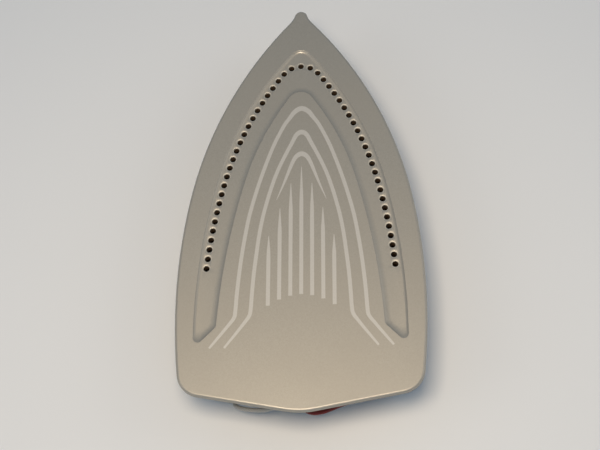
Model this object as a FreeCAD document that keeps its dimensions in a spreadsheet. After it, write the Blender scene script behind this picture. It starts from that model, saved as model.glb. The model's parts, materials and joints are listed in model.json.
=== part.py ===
import FreeCAD, Part
import math
import os
import Sketcher
from FreeCAD import Vector

# Heated soleplate of a steam iron, lying on its back with the sole face up.
# +X is the right side seen from the heel, +Y points to the nose and +Z is up, out of the sole face.
# Z is zero on the plane where the cast posts stand. Depths are measured down from the sole face.

# Driving dimensions in millimetres and degrees
SIZES = {
    # plate and outline
    "stand_height": 36.0,
    "plate_thickness": 5.0,
    "edge_round": 1.4,
    "edge_undercut": 3.0,
    "nose_y": 108.8,
    "nose_pip": 0.5,
    "nose_radius": 3.4,
    "nose_blend_radius": 11.0,
    "half_width": 59.6,
    "widest_y": -54.0,
    "side_radius": 300.0,
    "side_join_y": 0.0,
    "corner_radius": 12.0,
    "heel_y": -108.0,
    "heel_radius": 40.0,
    "heel_angle": 10.4,
    # horseshoe recess in the face
    "recess_half_width": 50.5,
    "recess_widest_y": -66.7,
    "recess_radius": 327.0,
    "recess_join_y": 9.6,
    "recess_apex_y": 84.4,
    "recess_apex_radius": 5.8,
    "island_half_width": 40.3,
    "island_widest_y": -88.0,
    "island_radius": 375.0,
    "island_join_y": 10.5,
    "island_apex_y": 59.5,
    "island_apex_radius": 6.65,
    "recess_depth": 1.0,
    "upper_slope_depth": 0.5,
    "lower_slope_depth": 0.85,
    "outer_wall_run": 1.6,
    "outer_upper_run": 0.45,
    "outer_lower_run": 0.95,
    "island_wall_run": 3.2,
    "island_upper_run": 0.6,
    "island_lower_run": 1.7,
    "recess_end_y": -66.5,
    "recess_end_angle": 45.0,
    "recess_tip_radius": 2.3,
    "recess_corner_radius": 2.5,
    "mouth_round": 0.3,
    # steam holes
    "hole_radius": 1.5,
    "hole_pitch": 5.0,
    "hole_dish_width": 0.5,
    "hole_dish_angle": 132.0,
    "row_inset": 3.75,
    "row_nose_radius": 11.0,
    "row_end_y": -40.0,
    # steam chamber on the back
    "wall_inset": 0.6,
    "wall_thickness": 3.0,
    "wall_height": 11.0,
    "chamber_nose_radius": 14.0,
    "chamber_corner_radius": 6.0,
    "rear_margin": 6.0,
    "rib_thickness": 2.0,
    "rib_height": 6.0,
    "rib_gap": 9.0,
    "rib_pitch": 14.0,
    "boss_radius": 3.6,
    "boss_reach": 3.0,
    "rear_boss_x": 20.5,
    # heating element
    "heater_half_width": 30.0,
    "heater_end_y": -68.0,
    "heater_radius": 400.0,
    "heater_join_y": 0.0,
    "heater_apex_y": 46.0,
    "heater_apex_radius": 10.0,
    "heater_depth": 9.0,
    "sheath_radius": 3.5,
    "ridge_cover": 1.5,
    "bend_radius": 12.0,
    "heater_tail": 3.5,
    "bead_radius": 2.8,
    "bead_height": 2.5,
    "pin_radius": 1.2,
    "pin_length": 8.5,
    # posts
    "rear_post_x": 42.0,
    "rear_post_y": -85.0,
    "post_radius": 5.5,
    "pilot_radius": 1.6,
    "pilot_depth": 14.0,
    "post_rib_length": 17.0,
    "post_rib_thickness": 2.0,
    "post_rib_height": 14.0,
    "front_post_y": 90.0,
    "front_post_radius": 6.0,
    "spigot_radius": 4.0,
    "spigot_length": 12.0,
    # chamber lid, its seal and its water inlet
    "seal_thickness": 0.6,
    "seal_inset": 0.3,
    "lid_thickness": 1.2,
    "lid_inset": 0.4,
    "ear_radius": 4.2,
    "field_inset": 4.0,
    "field_rise": 1.6,
    "inlet_y": 20.0,
    "inlet_radius": 2.5,
    "inlet_neck_radius": 5.0,
    "inlet_flange_radius": 7.0,
    "inlet_flange": 1.2,
    "inlet_height": 6.0,
    # small screws that form their own thread
    "screw_radius": 1.4,
    "screw_head_radius": 2.6,
    "screw_head_height": 1.8,
    "screw_slot": 0.8,
    "screw_slot_depth": 0.9,
    "lid_screw_grip": 8.0,
    "short_screw_grip": 3.4,
    # heat control
    "pad_height": 3.0,
    "pad_width": 34.0,
    "pad_length": 15.0,
    "control_gap": 2.5,
    "actuator_set": 2.5,
    "contact_set": 6.0,
    "ear_set": 7.0,
    "spindle_set": 14.0,
    "stack_set": 27.0,
    "foot_thickness": 1.0,
    "foot_width": 14.0,
    "ear_span": 32.0,
    "ear_length": 10.0,
    "ear_screw_x": 11.5,
    "bimetal_thickness": 1.0,
    "bimetal_width": 9.0,
    "insulator_radius": 6.0,
    "insulator_height": 3.0,
    "sleeve_radius": 3.0,
    "rivet_radius": 2.0,
    "rivet_bore": 1.2,
    "rivet_head_radius": 3.6,
    "rivet_head": 1.3,
    "blade_thickness": 0.8,
    "blade_width": 8.0,
    "tab_width": 6.3,
    "tab_length": 7.0,
    "side_tab_reach": 20.0,
    "contact_radius": 2.0,
    "actuator_radius": 1.3,
    "adjuster_thickness": 1.5,
    "adjuster_width": 13.0,
    "bush_radius": 4.0,
    "bush_flange_radius": 5.2,
    "bush_flange": 1.4,
    "bush_rise": 3.5,
    "spindle_radius": 3.0,
    "spindle_clearance": 0.05,
    "spindle_gap": 0.3,
    "spindle_collar_radius": 4.2,
    "spindle_collar": 1.2,
    "spindle_end": 4.0,
    "spindle_slot": 1.2,
    "spindle_slot_depth": 2.0,
    # fuse, leads and earth
    "fuse_x": 12.0,
    "fuse_set": 5.0,
    "fuse_radius": 2.2,
    "fuse_length": 11.0,
    "fuse_wire_radius": 0.6,
    "fuse_wire_reach": 1.6,
    "clip_thickness": 0.8,
    "clip_width": 6.0,
    "clip_foot": 6.5,
    "grey_lead_radius": 1.1,
    "red_lead_radius": 1.1,
    "ferrule_wall": 0.5,
    "ferrule_length": 4.4,
    "ferrule_grip": 3.0,
    "lead_straight": 2.2,
    "barrel_radius": 2.6,
    "barrel_height": 4.5,
    "barrel_gap": 1.0,
    "receptacle_width": 7.8,
    "receptacle_height": 2.8,
    "receptacle_length": 6.4,
    "receptacle_ferrule": 3.5,
    "receptacle_grip": 2.5,
    "earth_x": 17.0,
    "earth_set": 7.5,
    "earth_boss_radius": 4.5,
    "earth_foot": 8.0,
    "earth_tab_height": 9.0,
}

doc = FreeCAD.newDocument("soleplate")
sheet = doc.addObject("Spreadsheet::Sheet", "Sizes")
for row, (alias, number) in enumerate(SIZES.items(), start=1):
    sheet.set(f"A{row}", alias)
    sheet.set(f"B{row}", str(number))
    sheet.setAlias(f"B{row}", alias)
doc.recompute()


class Size:
    """A number together with the sheet expression that gives it."""

    def __init__(self, number, text):
        self.number = float(number)
        self.text = text

    def __float__(self):
        return self.number

    def __add__(self, other):
        return Size(self.number + float(other), f"({self.text} + {expression(other)})")

    def __sub__(self, other):
        return Size(self.number - float(other), f"({self.text} - {expression(other)})")

    def __mul__(self, other):
        return Size(self.number * float(other), f"({self.text} * {expression(other)})")

    def __truediv__(self, other):
        return Size(self.number / float(other), f"({self.text} / {expression(other)})")

    def __neg__(self):
        return Size(-self.number, f"(0 - {self.text})")


def expression(item):
    """The sheet expression of a size, or a plain number as text."""
    return item.text if isinstance(item, Size) else repr(float(item))


class Sizes:
    """Every cell of the sheet as a Size, by its alias."""


s = Sizes()
for alias in SIZES:
    setattr(s, alias, Size(sheet.get(alias), f"Sizes.{alias}"))

ZERO = Size(0.0, "0")


def depth(below_face):
    """Height of a level that lies below the sole face."""
    return s.stand_height - below_face


# Levels of the stacked pieces, as depths below the sole face
WALL_TOP = s.plate_thickness + s.wall_height
LID_SEAT = WALL_TOP + s.seal_thickness
LID_BACK = LID_SEAT + s.lid_thickness
RIDGE_TOP = s.heater_depth + s.sheath_radius + s.ridge_cover
PAD_TOP = s.plate_thickness + s.pad_height
FOOT_TOP = PAD_TOP + s.foot_thickness
BIMETAL_TOP = FOOT_TOP + s.bimetal_thickness
NEUTRAL_LEVEL = BIMETAL_TOP + s.insulator_height
SECOND_INSULATOR = NEUTRAL_LEVEL + s.blade_thickness
MOVING_LEVEL = SECOND_INSULATOR + s.insulator_height
THIRD_INSULATOR = MOVING_LEVEL + s.blade_thickness
FIXED_LEVEL = THIRD_INSULATOR + s.insulator_height
FOURTH_INSULATOR = FIXED_LEVEL + s.blade_thickness
ADJUSTER_LEVEL = FOURTH_INSULATOR + s.insulator_height
ADJUSTER_TOP = ADJUSTER_LEVEL + s.adjuster_thickness
HEATER_END = s.heater_depth + s.bend_radius + s.heater_tail
BEAD_TOP = HEATER_END + s.bead_height
PIN_END = HEATER_END + s.pin_length
FERRULE_LEVEL = BEAD_TOP + s.barrel_gap + s.barrel_height / 2

# Places along Y, each from the piece in front of it
CHAMBER_REAR = s.row_end_y - s.rear_margin
CONTROL_FRONT = CHAMBER_REAR - s.wall_thickness - s.control_gap
ACTUATOR_Y = CONTROL_FRONT - s.actuator_set
CONTACT_Y = CONTROL_FRONT - s.contact_set
EAR_Y = CONTROL_FRONT - s.ear_set
SPINDLE_Y = CONTROL_FRONT - s.spindle_set
STACK_Y = CONTROL_FRONT - s.stack_set
STACK_REAR = STACK_Y - s.insulator_radius
FUSE_Y = STACK_Y - s.fuse_set
FUSE_REAR = FUSE_Y - s.fuse_length / 2
EARTH_Y = SPINDLE_Y - s.earth_set
HEATER_END_Y = s.heater_end_y - s.bend_radius
FERRULE_END = HEATER_END_Y - s.barrel_radius - s.ferrule_length
RECEPTACLE_REAR = STACK_REAR - s.tab_length - s.blade_thickness


# Bodies, sketches and features
def new_body(label, x=ZERO, y=ZERO):
    """An empty body whose own origin stands at x, y."""
    body = doc.addObject("PartDesign::Body", label)
    body.Label = label
    body.setExpression("Placement.Base.x", x.text)
    body.setExpression("Placement.Base.y", y.text)
    return body


def new_sketch(body, plane="XY_Plane", x=ZERO, y=ZERO, z=ZERO):
    """A sketch on one of the body's origin planes, moved by x, y, z in that plane's own axes."""
    sketch = body.newObject("Sketcher::SketchObject", f"{body.Label}_sketch")
    support = next(item for item in body.Origin.OriginFeatures if item.Role == plane)
    sketch.AttachmentSupport = (support, [""])
    sketch.MapMode = "FlatFace"
    sketch.setExpression("AttachmentOffset.Base.x", x.text)
    sketch.setExpression("AttachmentOffset.Base.y", y.text)
    sketch.setExpression("AttachmentOffset.Base.z", z.text)
    return sketch


def constrain(sketch, size, kind, *places):
    """A dimension in a sketch, bound to the sheet."""
    index = sketch.addConstraint(Sketcher.Constraint(kind, *places, float(size)))
    sketch.setExpression(f"Constraints[{index}]", size.text)


def add_circle(sketch, radius):
    """A circle about the sketch's origin."""
    index = sketch.addGeometry(Part.Circle(Vector(0, 0, 0), Vector(0, 0, 1), float(radius)))
    sketch.addConstraint(Sketcher.Constraint("Coincident", index, 3, -1, 1))
    constrain(sketch, radius, "Radius", index)


def add_rectangle(sketch, width, length):
    """A rectangle centred on the sketch's origin."""
    across = float(width) / 2
    along = float(length) / 2
    corners = [
        Vector(-across, -along, 0),
        Vector(across, -along, 0),
        Vector(across, along, 0),
        Vector(-across, along, 0),
    ]
    first = sketch.GeometryCount
    for index in range(4):
        sketch.addGeometry(Part.LineSegment(corners[index], corners[(index + 1) % 4]))
    for index in range(4):
        after = first + (index + 1) % 4
        sketch.addConstraint(Sketcher.Constraint("Coincident", first + index, 2, after, 1))
    sketch.addConstraint(Sketcher.Constraint("Horizontal", first))
    sketch.addConstraint(Sketcher.Constraint("Horizontal", first + 2))
    sketch.addConstraint(Sketcher.Constraint("Vertical", first + 1))
    sketch.addConstraint(Sketcher.Constraint("Vertical", first + 3))
    sketch.addConstraint(Sketcher.Constraint("Symmetric", first, 1, first + 2, 1, -1, 1))
    constrain(sketch, width, "DistanceX", first, 1, first, 2)
    constrain(sketch, length, "DistanceY", first + 1, 1, first + 1, 2)


def add_loop(sketch, curves):
    """A closed loop of arcs and lines that already meet end to end."""
    first = sketch.GeometryCount
    for curve in curves:
        sketch.addGeometry(curve)
    count = len(curves)
    for index in range(count):
        after = (index + 1) % count
        ends = ((1, curves[index].StartPoint), (2, curves[index].EndPoint))
        next_ends = ((1, curves[after].StartPoint), (2, curves[after].EndPoint))
        pairs = [(near[1].distanceToPoint(far[1]), near[0], far[0]) for near in ends for far in next_ends]
        meeting = min(pairs)
        sketch.addConstraint(
            Sketcher.Constraint("Coincident", first + index, meeting[1], first + after, meeting[2])
        )


def pad(body, sketch, length, downward=True):
    """Material grown from a sketch, away from the sole face unless told otherwise."""
    feature = body.newObject("PartDesign::Pad", f"{body.Label}_pad")
    feature.Profile = sketch
    feature.Reversed = downward
    feature.setExpression("Length", length.text)
    return feature


def pocket(body, sketch, length, downward=True):
    """Material cut from a sketch, away from the sole face unless told otherwise."""
    feature = body.newObject("PartDesign::Pocket", f"{body.Label}_pocket")
    feature.Profile = sketch
    feature.Reversed = not downward
    feature.setExpression("Length", length.text)
    return feature


def round_pad(body, radius, top, length, x=ZERO, y=ZERO):
    """A cylinder that hangs down from a depth below the sole face."""
    sketch = new_sketch(body, x=x, y=y, z=depth(top))
    add_circle(sketch, radius)
    return pad(body, sketch, length)


def round_pocket(body, radius, bottom, length, x=ZERO, y=ZERO):
    """A round hole that goes up towards the sole face from a depth below it."""
    sketch = new_sketch(body, x=x, y=y, z=depth(bottom))
    add_circle(sketch, radius)
    return pocket(body, sketch, length, downward=False)


def box_pad(body, width, length, top, height, x=ZERO, y=ZERO):
    """A block that hangs down from a depth below the sole face."""
    sketch = new_sketch(body, x=x, y=y, z=depth(top))
    add_rectangle(sketch, width, length)
    return pad(body, sketch, height)


def turned(label, x, y, outline):
    """A body turned about a vertical axis at x, y; the outline is radius and depth pairs."""
    body = new_body(label, x, y)
    sketch = new_sketch(body, plane="XZ_Plane")
    points = [Vector(float(radius), float(depth(below)), 0) for radius, below in outline]
    count = len(points)
    for index in range(count):
        sketch.addGeometry(Part.LineSegment(points[index], points[(index + 1) % count]))
    for index in range(count):
        sketch.addConstraint(Sketcher.Constraint("Coincident", index, 2, (index + 1) % count, 1))
    for index, (radius, below) in enumerate(outline):
        if float(radius) > 0:
            constrain(sketch, radius, "DistanceX", -1, 1, index, 1)
        else:
            sketch.addConstraint(Sketcher.Constraint("PointOnObject", index, 1, -2))
        constrain(sketch, depth(below), "DistanceY", -1, 1, index, 1)
    feature = body.newObject("PartDesign::Revolution", f"{label}_turning")
    feature.Profile = sketch
    feature.ReferenceAxis = (sketch, ["V_Axis"])
    feature.Angle = 360
    return body


# Plane curves
def arc(centre, radius, start, end):
    """An arc in the plane, counter-clockwise between two angles in radians."""
    circle = Part.Circle(Vector(centre[0], centre[1], 0), Vector(0, 0, 1), radius)
    return Part.ArcOfCircle(circle, start, end)


def line(start, end):
    """A straight line between two plane points."""
    return Part.LineSegment(Vector(start[0], start[1], 0), Vector(end[0], end[1], 0))


def angle_to(centre, point):
    """Direction from a centre to a point."""
    return math.atan2(point[1] - centre[1], point[0] - centre[0])


def along(centre, angle, distance):
    """The point at a distance and direction from a centre."""
    return (centre[0] + distance * math.cos(angle), centre[1] + distance * math.sin(angle))


def mirrored(curves):
    """The same curves on the left side, in reverse order."""
    copies = []
    for curve in reversed(curves):
        if isinstance(curve, Part.LineSegment):
            start = curve.StartPoint
            end = curve.EndPoint
            copies.append(line((-end.x, end.y), (-start.x, start.y)))
        else:
            centre = (-curve.Center.x, curve.Center.y)
            copies.append(
                arc(centre, curve.Radius, math.pi - curve.LastParameter, math.pi - curve.FirstParameter)
            )
    return copies


def touching_centre(centre, reach, origin, angle, gap):
    """The point at a reach from a centre and a gap to the left of a line, furthest along the line."""
    base = along(origin, angle + math.pi / 2, gap)
    offset = (base[0] - centre[0], base[1] - centre[1])
    travel = offset[0] * math.cos(angle) + offset[1] * math.sin(angle)
    miss = offset[0] ** 2 + offset[1] ** 2 - reach**2
    return along(base, angle, -travel + math.sqrt(travel**2 - miss))


class Arch:
    """A pointed arch: a rear arc and a front arc on each side, closed by a round apex.

    The right side's arcs are kept. The rear arc is upright at the widest place, the front arc carries
    on from it at the join, and the apex arc is tangent to both front arcs.
    """

    def __init__(self, half_width, widest_y, radius, join_y, apex_y, apex_radius):
        self.rear_radius = float(radius)
        self.rear_centre = (float(half_width) - self.rear_radius, float(widest_y))
        self.join = math.asin((float(join_y) - float(widest_y)) / self.rear_radius)
        join_point = along(self.rear_centre, self.join, self.rear_radius)
        tip = (0.0, float(apex_y) - float(apex_radius))
        away = (join_point[0] - tip[0], join_point[1] - tip[1])
        facing = away[0] * math.cos(self.join) + away[1] * math.sin(self.join)
        spread = away[0] ** 2 + away[1] ** 2 - float(apex_radius) ** 2
        self.front_radius = spread / (2 * (facing - float(apex_radius)))
        self.front_centre = along(join_point, self.join, -self.front_radius)
        self.apex_radius = float(apex_radius)

    def apex_centre(self, offset, apex_radius):
        """Centre of an apex arc that is tangent to the offset front arcs."""
        reach = self.front_radius + offset - apex_radius
        rise = math.sqrt(reach**2 - self.front_centre[0] ** 2)
        return (0.0, self.front_centre[1] + rise)

    def apex_turn(self, offset, apex_radius):
        """Direction in which the apex arc meets the right front arc."""
        return angle_to(self.front_centre, self.apex_centre(offset, apex_radius))

    def side(self, offset, apex_radius, rear_angle):
        """The right side's curves from its rear end to the apex, moved outwards by an offset."""
        turn = self.apex_turn(offset, apex_radius)
        return [
            arc(self.rear_centre, self.rear_radius + offset, rear_angle, self.join),
            arc(self.front_centre, self.front_radius + offset, self.join, turn),
        ]

    def apex(self, offset, apex_radius):
        """The apex arc from the right side to the left."""
        turn = self.apex_turn(offset, apex_radius)
        return arc(self.apex_centre(offset, apex_radius), apex_radius, turn, math.pi - turn)

    def rear_angle(self, offset, y):
        """Direction from the rear centre to where the rear arc reaches a place along Y."""
        return math.asin((y - self.rear_centre[1]) / (self.rear_radius + offset))

    def reach(self, offset, y):
        """How far to the right the arch lies at a place along Y."""
        join_y = along(self.rear_centre, self.join, self.rear_radius + offset)[1]
        centre = self.rear_centre if y < join_y else self.front_centre
        radius = (self.rear_radius if y < join_y else self.front_radius) + offset
        return centre[0] + math.sqrt(radius**2 - (y - centre[1]) ** 2)

    def closed_loop(self, offset, apex_radius, rear_y, corner_radius):
        """The arch closed by a straight rear side with round corners."""
        radius = self.rear_radius + offset
        corner = touching_centre(self.rear_centre, radius - corner_radius, (0.0, rear_y), 0.0, corner_radius)
        meeting = angle_to(self.rear_centre, corner)
        right = [arc(corner, corner_radius, -math.pi / 2, meeting)]
        right += self.side(offset, apex_radius, meeting)
        closing = line((-corner[0], rear_y), (corner[0], rear_y))
        return right + [self.apex(offset, apex_radius)] + mirrored(right) + [closing]


RECESS = Arch(
    s.recess_half_width,
    s.recess_widest_y,
    s.recess_radius,
    s.recess_join_y,
    s.recess_apex_y,
    s.recess_apex_radius,
)
ISLAND = Arch(
    s.island_half_width,
    s.island_widest_y,
    s.island_radius,
    s.island_join_y,
    s.island_apex_y,
    s.island_apex_radius,
)
HEATER = Arch(
    s.heater_half_width,
    s.heater_end_y,
    s.heater_radius,
    s.heater_join_y,
    s.heater_apex_y,
    s.heater_apex_radius,
)


def sole_outline():
    """The plate's edge: round nose pip, two arcs a side, round rear corners and a shallow pointed heel."""
    rear_radius = float(s.side_radius)
    rear_centre = (float(s.half_width) - rear_radius, float(s.widest_y))
    join = math.asin((float(s.side_join_y) - rear_centre[1]) / rear_radius)
    join_point = along(rear_centre, join, rear_radius)
    meeting = (0.0, float(s.nose_y - s.nose_pip))
    away = (join_point[0] - meeting[0], join_point[1] - meeting[1])
    facing = away[0] * math.cos(join) + away[1] * math.sin(join)
    front_radius = (away[0] ** 2 + away[1] ** 2) / (2 * facing)
    front_centre = along(join_point, join, -front_radius)

    tip_radius = float(s.nose_radius)
    blend_radius = float(s.nose_blend_radius)
    tip = (0.0, float(s.nose_y) - tip_radius)
    gap = math.dist(tip, front_centre)
    outer_reach = front_radius + blend_radius
    tip_reach = tip_radius + blend_radius
    opening = math.acos((outer_reach**2 + gap**2 - tip_reach**2) / (2 * outer_reach * gap))
    blend = along(front_centre, angle_to(front_centre, tip) - opening, outer_reach)
    side_end = angle_to(front_centre, blend)
    tip_turn = angle_to(tip, blend)

    slope = math.radians(float(s.heel_angle))
    heel_radius = float(s.heel_radius)
    heel = (0.0, float(s.heel_y) + heel_radius)
    heel_turn = slope - math.pi / 2
    flank = along(heel, heel_turn, heel_radius)
    corner_radius = float(s.corner_radius)
    corner = touching_centre(rear_centre, rear_radius - corner_radius, flank, slope, corner_radius)
    corner_end = angle_to(rear_centre, corner)

    right = [
        line(flank, along(corner, heel_turn, corner_radius)),
        arc(corner, corner_radius, heel_turn, corner_end),
        arc(rear_centre, rear_radius, corner_end, join),
        arc(front_centre, front_radius, join, side_end),
        arc(blend, blend_radius, tip_turn + math.pi, side_end + math.pi),
    ]
    nose = arc(tip, tip_radius, tip_turn, math.pi - tip_turn)
    heel_arc = arc(heel, heel_radius, -math.pi - heel_turn, heel_turn)
    return right + [nose] + mirrored(right) + [heel_arc]


def recess_loop(outer_run, island_run, tip_radius, corner_radius):
    """The horseshoe between the recess contour and the island, with slanted round ends."""
    outer_offset = -float(outer_run)
    island_offset = float(island_run)
    slope = -math.radians(float(s.recess_end_angle))
    end_y = float(s.recess_end_y)
    origin = along((ISLAND.reach(0.0, end_y), end_y), slope + math.pi / 2, island_offset)
    tip_radius = float(tip_radius)
    corner_radius = float(corner_radius)

    outer_radius = RECESS.rear_radius + outer_offset
    tip = touching_centre(RECESS.rear_centre, outer_radius - tip_radius, origin, slope, tip_radius)
    tip_end = angle_to(RECESS.rear_centre, tip)
    island_radius = ISLAND.rear_radius + island_offset
    corner = touching_centre(ISLAND.rear_centre, island_radius + corner_radius, origin, slope, corner_radius)
    corner_end = angle_to(ISLAND.rear_centre, corner)
    down = slope - math.pi / 2

    outer_apex = RECESS.apex_radius + outer_offset
    island_apex = ISLAND.apex_radius + island_offset
    right_outer = [
        line(along(corner, down, corner_radius), along(tip, down, tip_radius)),
        arc(tip, tip_radius, down, tip_end),
    ]
    right_outer += RECESS.side(outer_offset, outer_apex, tip_end)
    right_inner = [arc(corner, corner_radius, corner_end - math.pi, down)]
    right_inner += ISLAND.side(island_offset, island_apex, corner_end)
    right_inner = right_inner[1:][::-1] + right_inner[:1]
    outside = right_outer + [RECESS.apex(outer_offset, outer_apex)] + mirrored(right_outer)
    inside = mirrored(right_inner) + [ISLAND.apex(island_offset, island_apex)] + right_inner
    return outside + inside


def heater_band(half_width):
    """The hairpin's plan as a band of a given half width, with straight ends."""
    end = float(s.heater_end_y)
    outer = HEATER.side(half_width, HEATER.apex_radius + half_width, HEATER.rear_angle(half_width, end))
    inner = HEATER.side(-half_width, HEATER.apex_radius - half_width, HEATER.rear_angle(-half_width, end))
    outer_end = (HEATER.reach(half_width, end), end)
    inner_end = (HEATER.reach(-half_width, end), end)
    outside = outer + [HEATER.apex(half_width, HEATER.apex_radius + half_width)] + mirrored(outer)
    left_end = line((-outer_end[0], end), (-inner_end[0], end))
    inner_apex = HEATER.apex(-half_width, HEATER.apex_radius - half_width)
    inside = mirrored(inner[::-1]) + [inner_apex] + inner[::-1]
    right_end = line(inner_end, outer_end)
    return outside + [left_end] + inside + [right_end]


def hole_places():
    """Plan places of the steam holes, at an even pitch both ways from the nose."""
    inset = -float(s.row_inset)
    nose_radius = float(s.row_nose_radius)
    rear = RECESS.rear_angle(inset, float(s.row_end_y))
    curves = [RECESS.apex(inset, nose_radius)] + RECESS.side(inset, nose_radius, rear)[::-1]
    nose_half = curves[0].length() / 2
    total = nose_half + curves[1].length() + curves[2].length()
    places = []
    for step in range(int(total / float(s.hole_pitch)) + 1):
        travelled = step * float(s.hole_pitch)
        if travelled <= nose_half:
            angle = math.pi / 2 - travelled / nose_radius
            places.append(along((0.0, curves[0].Center.y), angle, nose_radius))
            continue
        rest = travelled - nose_half
        side = curves[1] if rest <= curves[1].length() else curves[2]
        rest -= 0 if side is curves[1] else curves[1].length()
        angle = side.LastParameter - rest / side.Radius
        places.append(along((side.Center.x, side.Center.y), angle, side.Radius))
    left = [(-x, y) for x, y in places if x > 0.01]
    return places + left


def lid_screw_places():
    """Plan places of the lid's screws: three a side beside the chamber wall and two behind it."""
    offset = float(s.wall_thickness - s.wall_inset + s.boss_reach)
    rear = float(CHAMBER_REAR)
    front = float(s.heater_apex_y)
    spots = [front, (front + rear) / 2, rear + float(s.chamber_corner_radius) * 2]
    places = [(RECESS.reach(offset, y), y) for y in spots]
    places.append((float(s.rear_boss_x), rear - float(s.wall_thickness + s.boss_reach)))
    return places + [(-x, y) for x, y in places]


def add_circles(sketch, places, radius):
    """Equal circles at plan places; the first one's radius is bound and the rest follow it."""
    first = sketch.GeometryCount
    for x, y in places:
        sketch.addGeometry(Part.Circle(Vector(x, y, 0), Vector(0, 0, 1), float(radius)))
    constrain(sketch, radius, "Radius", first)
    for index in range(1, len(places)):
        sketch.addConstraint(Sketcher.Constraint("Equal", first, first + index))


def block_loop(x, y, width, length):
    """A rectangle about a plan place."""
    across = width / 2
    along_y = length / 2
    corners = [
        (x - across, y - along_y),
        (x + across, y - along_y),
        (x + across, y + along_y),
        (x - across, y + along_y),
    ]
    return [line(corners[index], corners[(index + 1) % 4]) for index in range(4)]


def cross_loop(x, y, reach, half):
    """A plus sign about a plan place, with equal arms."""
    quarter = [(reach, -half), (reach, half), (half, half)]
    corners = []
    for step in range(4):
        turn = step * math.pi / 2
        for across, along_y in quarter:
            corners.append(
                (
                    x + across * math.cos(turn) - along_y * math.sin(turn),
                    y + across * math.sin(turn) + along_y * math.cos(turn),
                )
            )
    return [line(corners[index], corners[(index + 1) % 12]) for index in range(12)]


def edge_names(shape, test):
    """Names of the edges that pass a test."""
    return [f"Edge{index}" for index, edge in enumerate(shape.Edges, start=1) if test(edge)]


def dress(body, kind, base, names, size):
    """A fillet or a chamfer on named edges of a feature."""
    feature = body.newObject(f"PartDesign::{kind}", f"{body.Label}_{kind.lower()}")
    feature.Base = (base, names)
    feature.setExpression("Radius" if kind == "Fillet" else "Size", size.text)
    return feature


def lies_at(edge, height):
    """True for an edge that stays at one height."""
    box = edge.BoundBox
    return abs(box.ZMin - height) < 1e-4 and abs(box.ZMax - height) < 1e-4


def make_sole_blank():
    """The casting before the heating element is set into it."""
    body = new_body("sole_blank")
    face = float(s.stand_height)
    outline = new_sketch(body, z=s.stand_height)
    add_loop(outline, sole_outline())
    plate = pad(body, outline, s.plate_thickness)
    doc.recompute()
    plate_back = float(depth(s.plate_thickness))
    back_rim = edge_names(plate.Shape, lambda edge: lies_at(edge, plate_back))
    dress(body, "Chamfer", plate, back_rim, s.edge_undercut)
    add_chamber(body)
    add_ridge(body)
    add_posts(body)
    backed = add_control_pads(body)
    doc.recompute()
    rim = edge_names(backed.Shape, lambda edge: lies_at(edge, face))
    rounded = dress(body, "Fillet", backed, rim, s.edge_round)
    add_recess(body, rounded)
    add_steam_holes(body)
    return body


def add_recess(body, plate):
    """The shallow horseshoe, scooped in three slopes that ease into its floor."""
    steps = [
        (ZERO, ZERO, ZERO),
        (s.upper_slope_depth, s.outer_upper_run, s.island_upper_run),
        (s.lower_slope_depth, s.outer_lower_run, s.island_lower_run),
        (s.recess_depth, s.outer_wall_run, s.island_wall_run),
    ]
    sections = []
    for level, outer_run, island_run in steps:
        section = new_sketch(body, z=depth(level))
        tip_radius = float(s.recess_tip_radius) - float(outer_run) / 2
        add_loop(section, recess_loop(outer_run, island_run, tip_radius, s.recess_corner_radius))
        sections.append(section)
    recess = body.newObject("PartDesign::SubtractiveLoft", "recess")
    recess.Profile = sections[0]
    recess.Sections = sections[1:]
    recess.Ruled = True
    doc.recompute()
    old_centres = [edge.CenterOfMass for edge in plate.Shape.Edges]

    def is_mouth(edge):
        centre = edge.CenterOfMass
        new = all(centre.distanceToPoint(old) > 1e-3 for old in old_centres)
        return new and lies_at(edge, float(s.stand_height))

    dress(body, "Fillet", recess, edge_names(recess.Shape, is_mouth), s.mouth_round)


def add_steam_holes(body):
    """Holes from the recess floor into the gallery, each with a shallow dish round its mouth."""
    sketch = new_sketch(body, z=depth(s.recess_depth))
    add_circles(sketch, hole_places(), s.hole_radius)
    dish_radius = s.hole_radius + s.hole_dish_width
    holes = body.newObject("PartDesign::Hole", "steam_holes")
    holes.Profile = sketch
    holes.HoleCutType = "Countersink"
    holes.HoleCutCustomValues = True
    holes.DepthType = "Dimension"
    holes.DrillPoint = "Flat"
    holes.setExpression("Diameter", (s.hole_radius + s.hole_radius).text)
    holes.setExpression("Depth", (s.plate_thickness - s.recess_depth).text)
    holes.setExpression("HoleCutDiameter", (dish_radius + dish_radius).text)
    holes.setExpression("HoleCutCountersinkAngle", s.hole_dish_angle.text)


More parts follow.
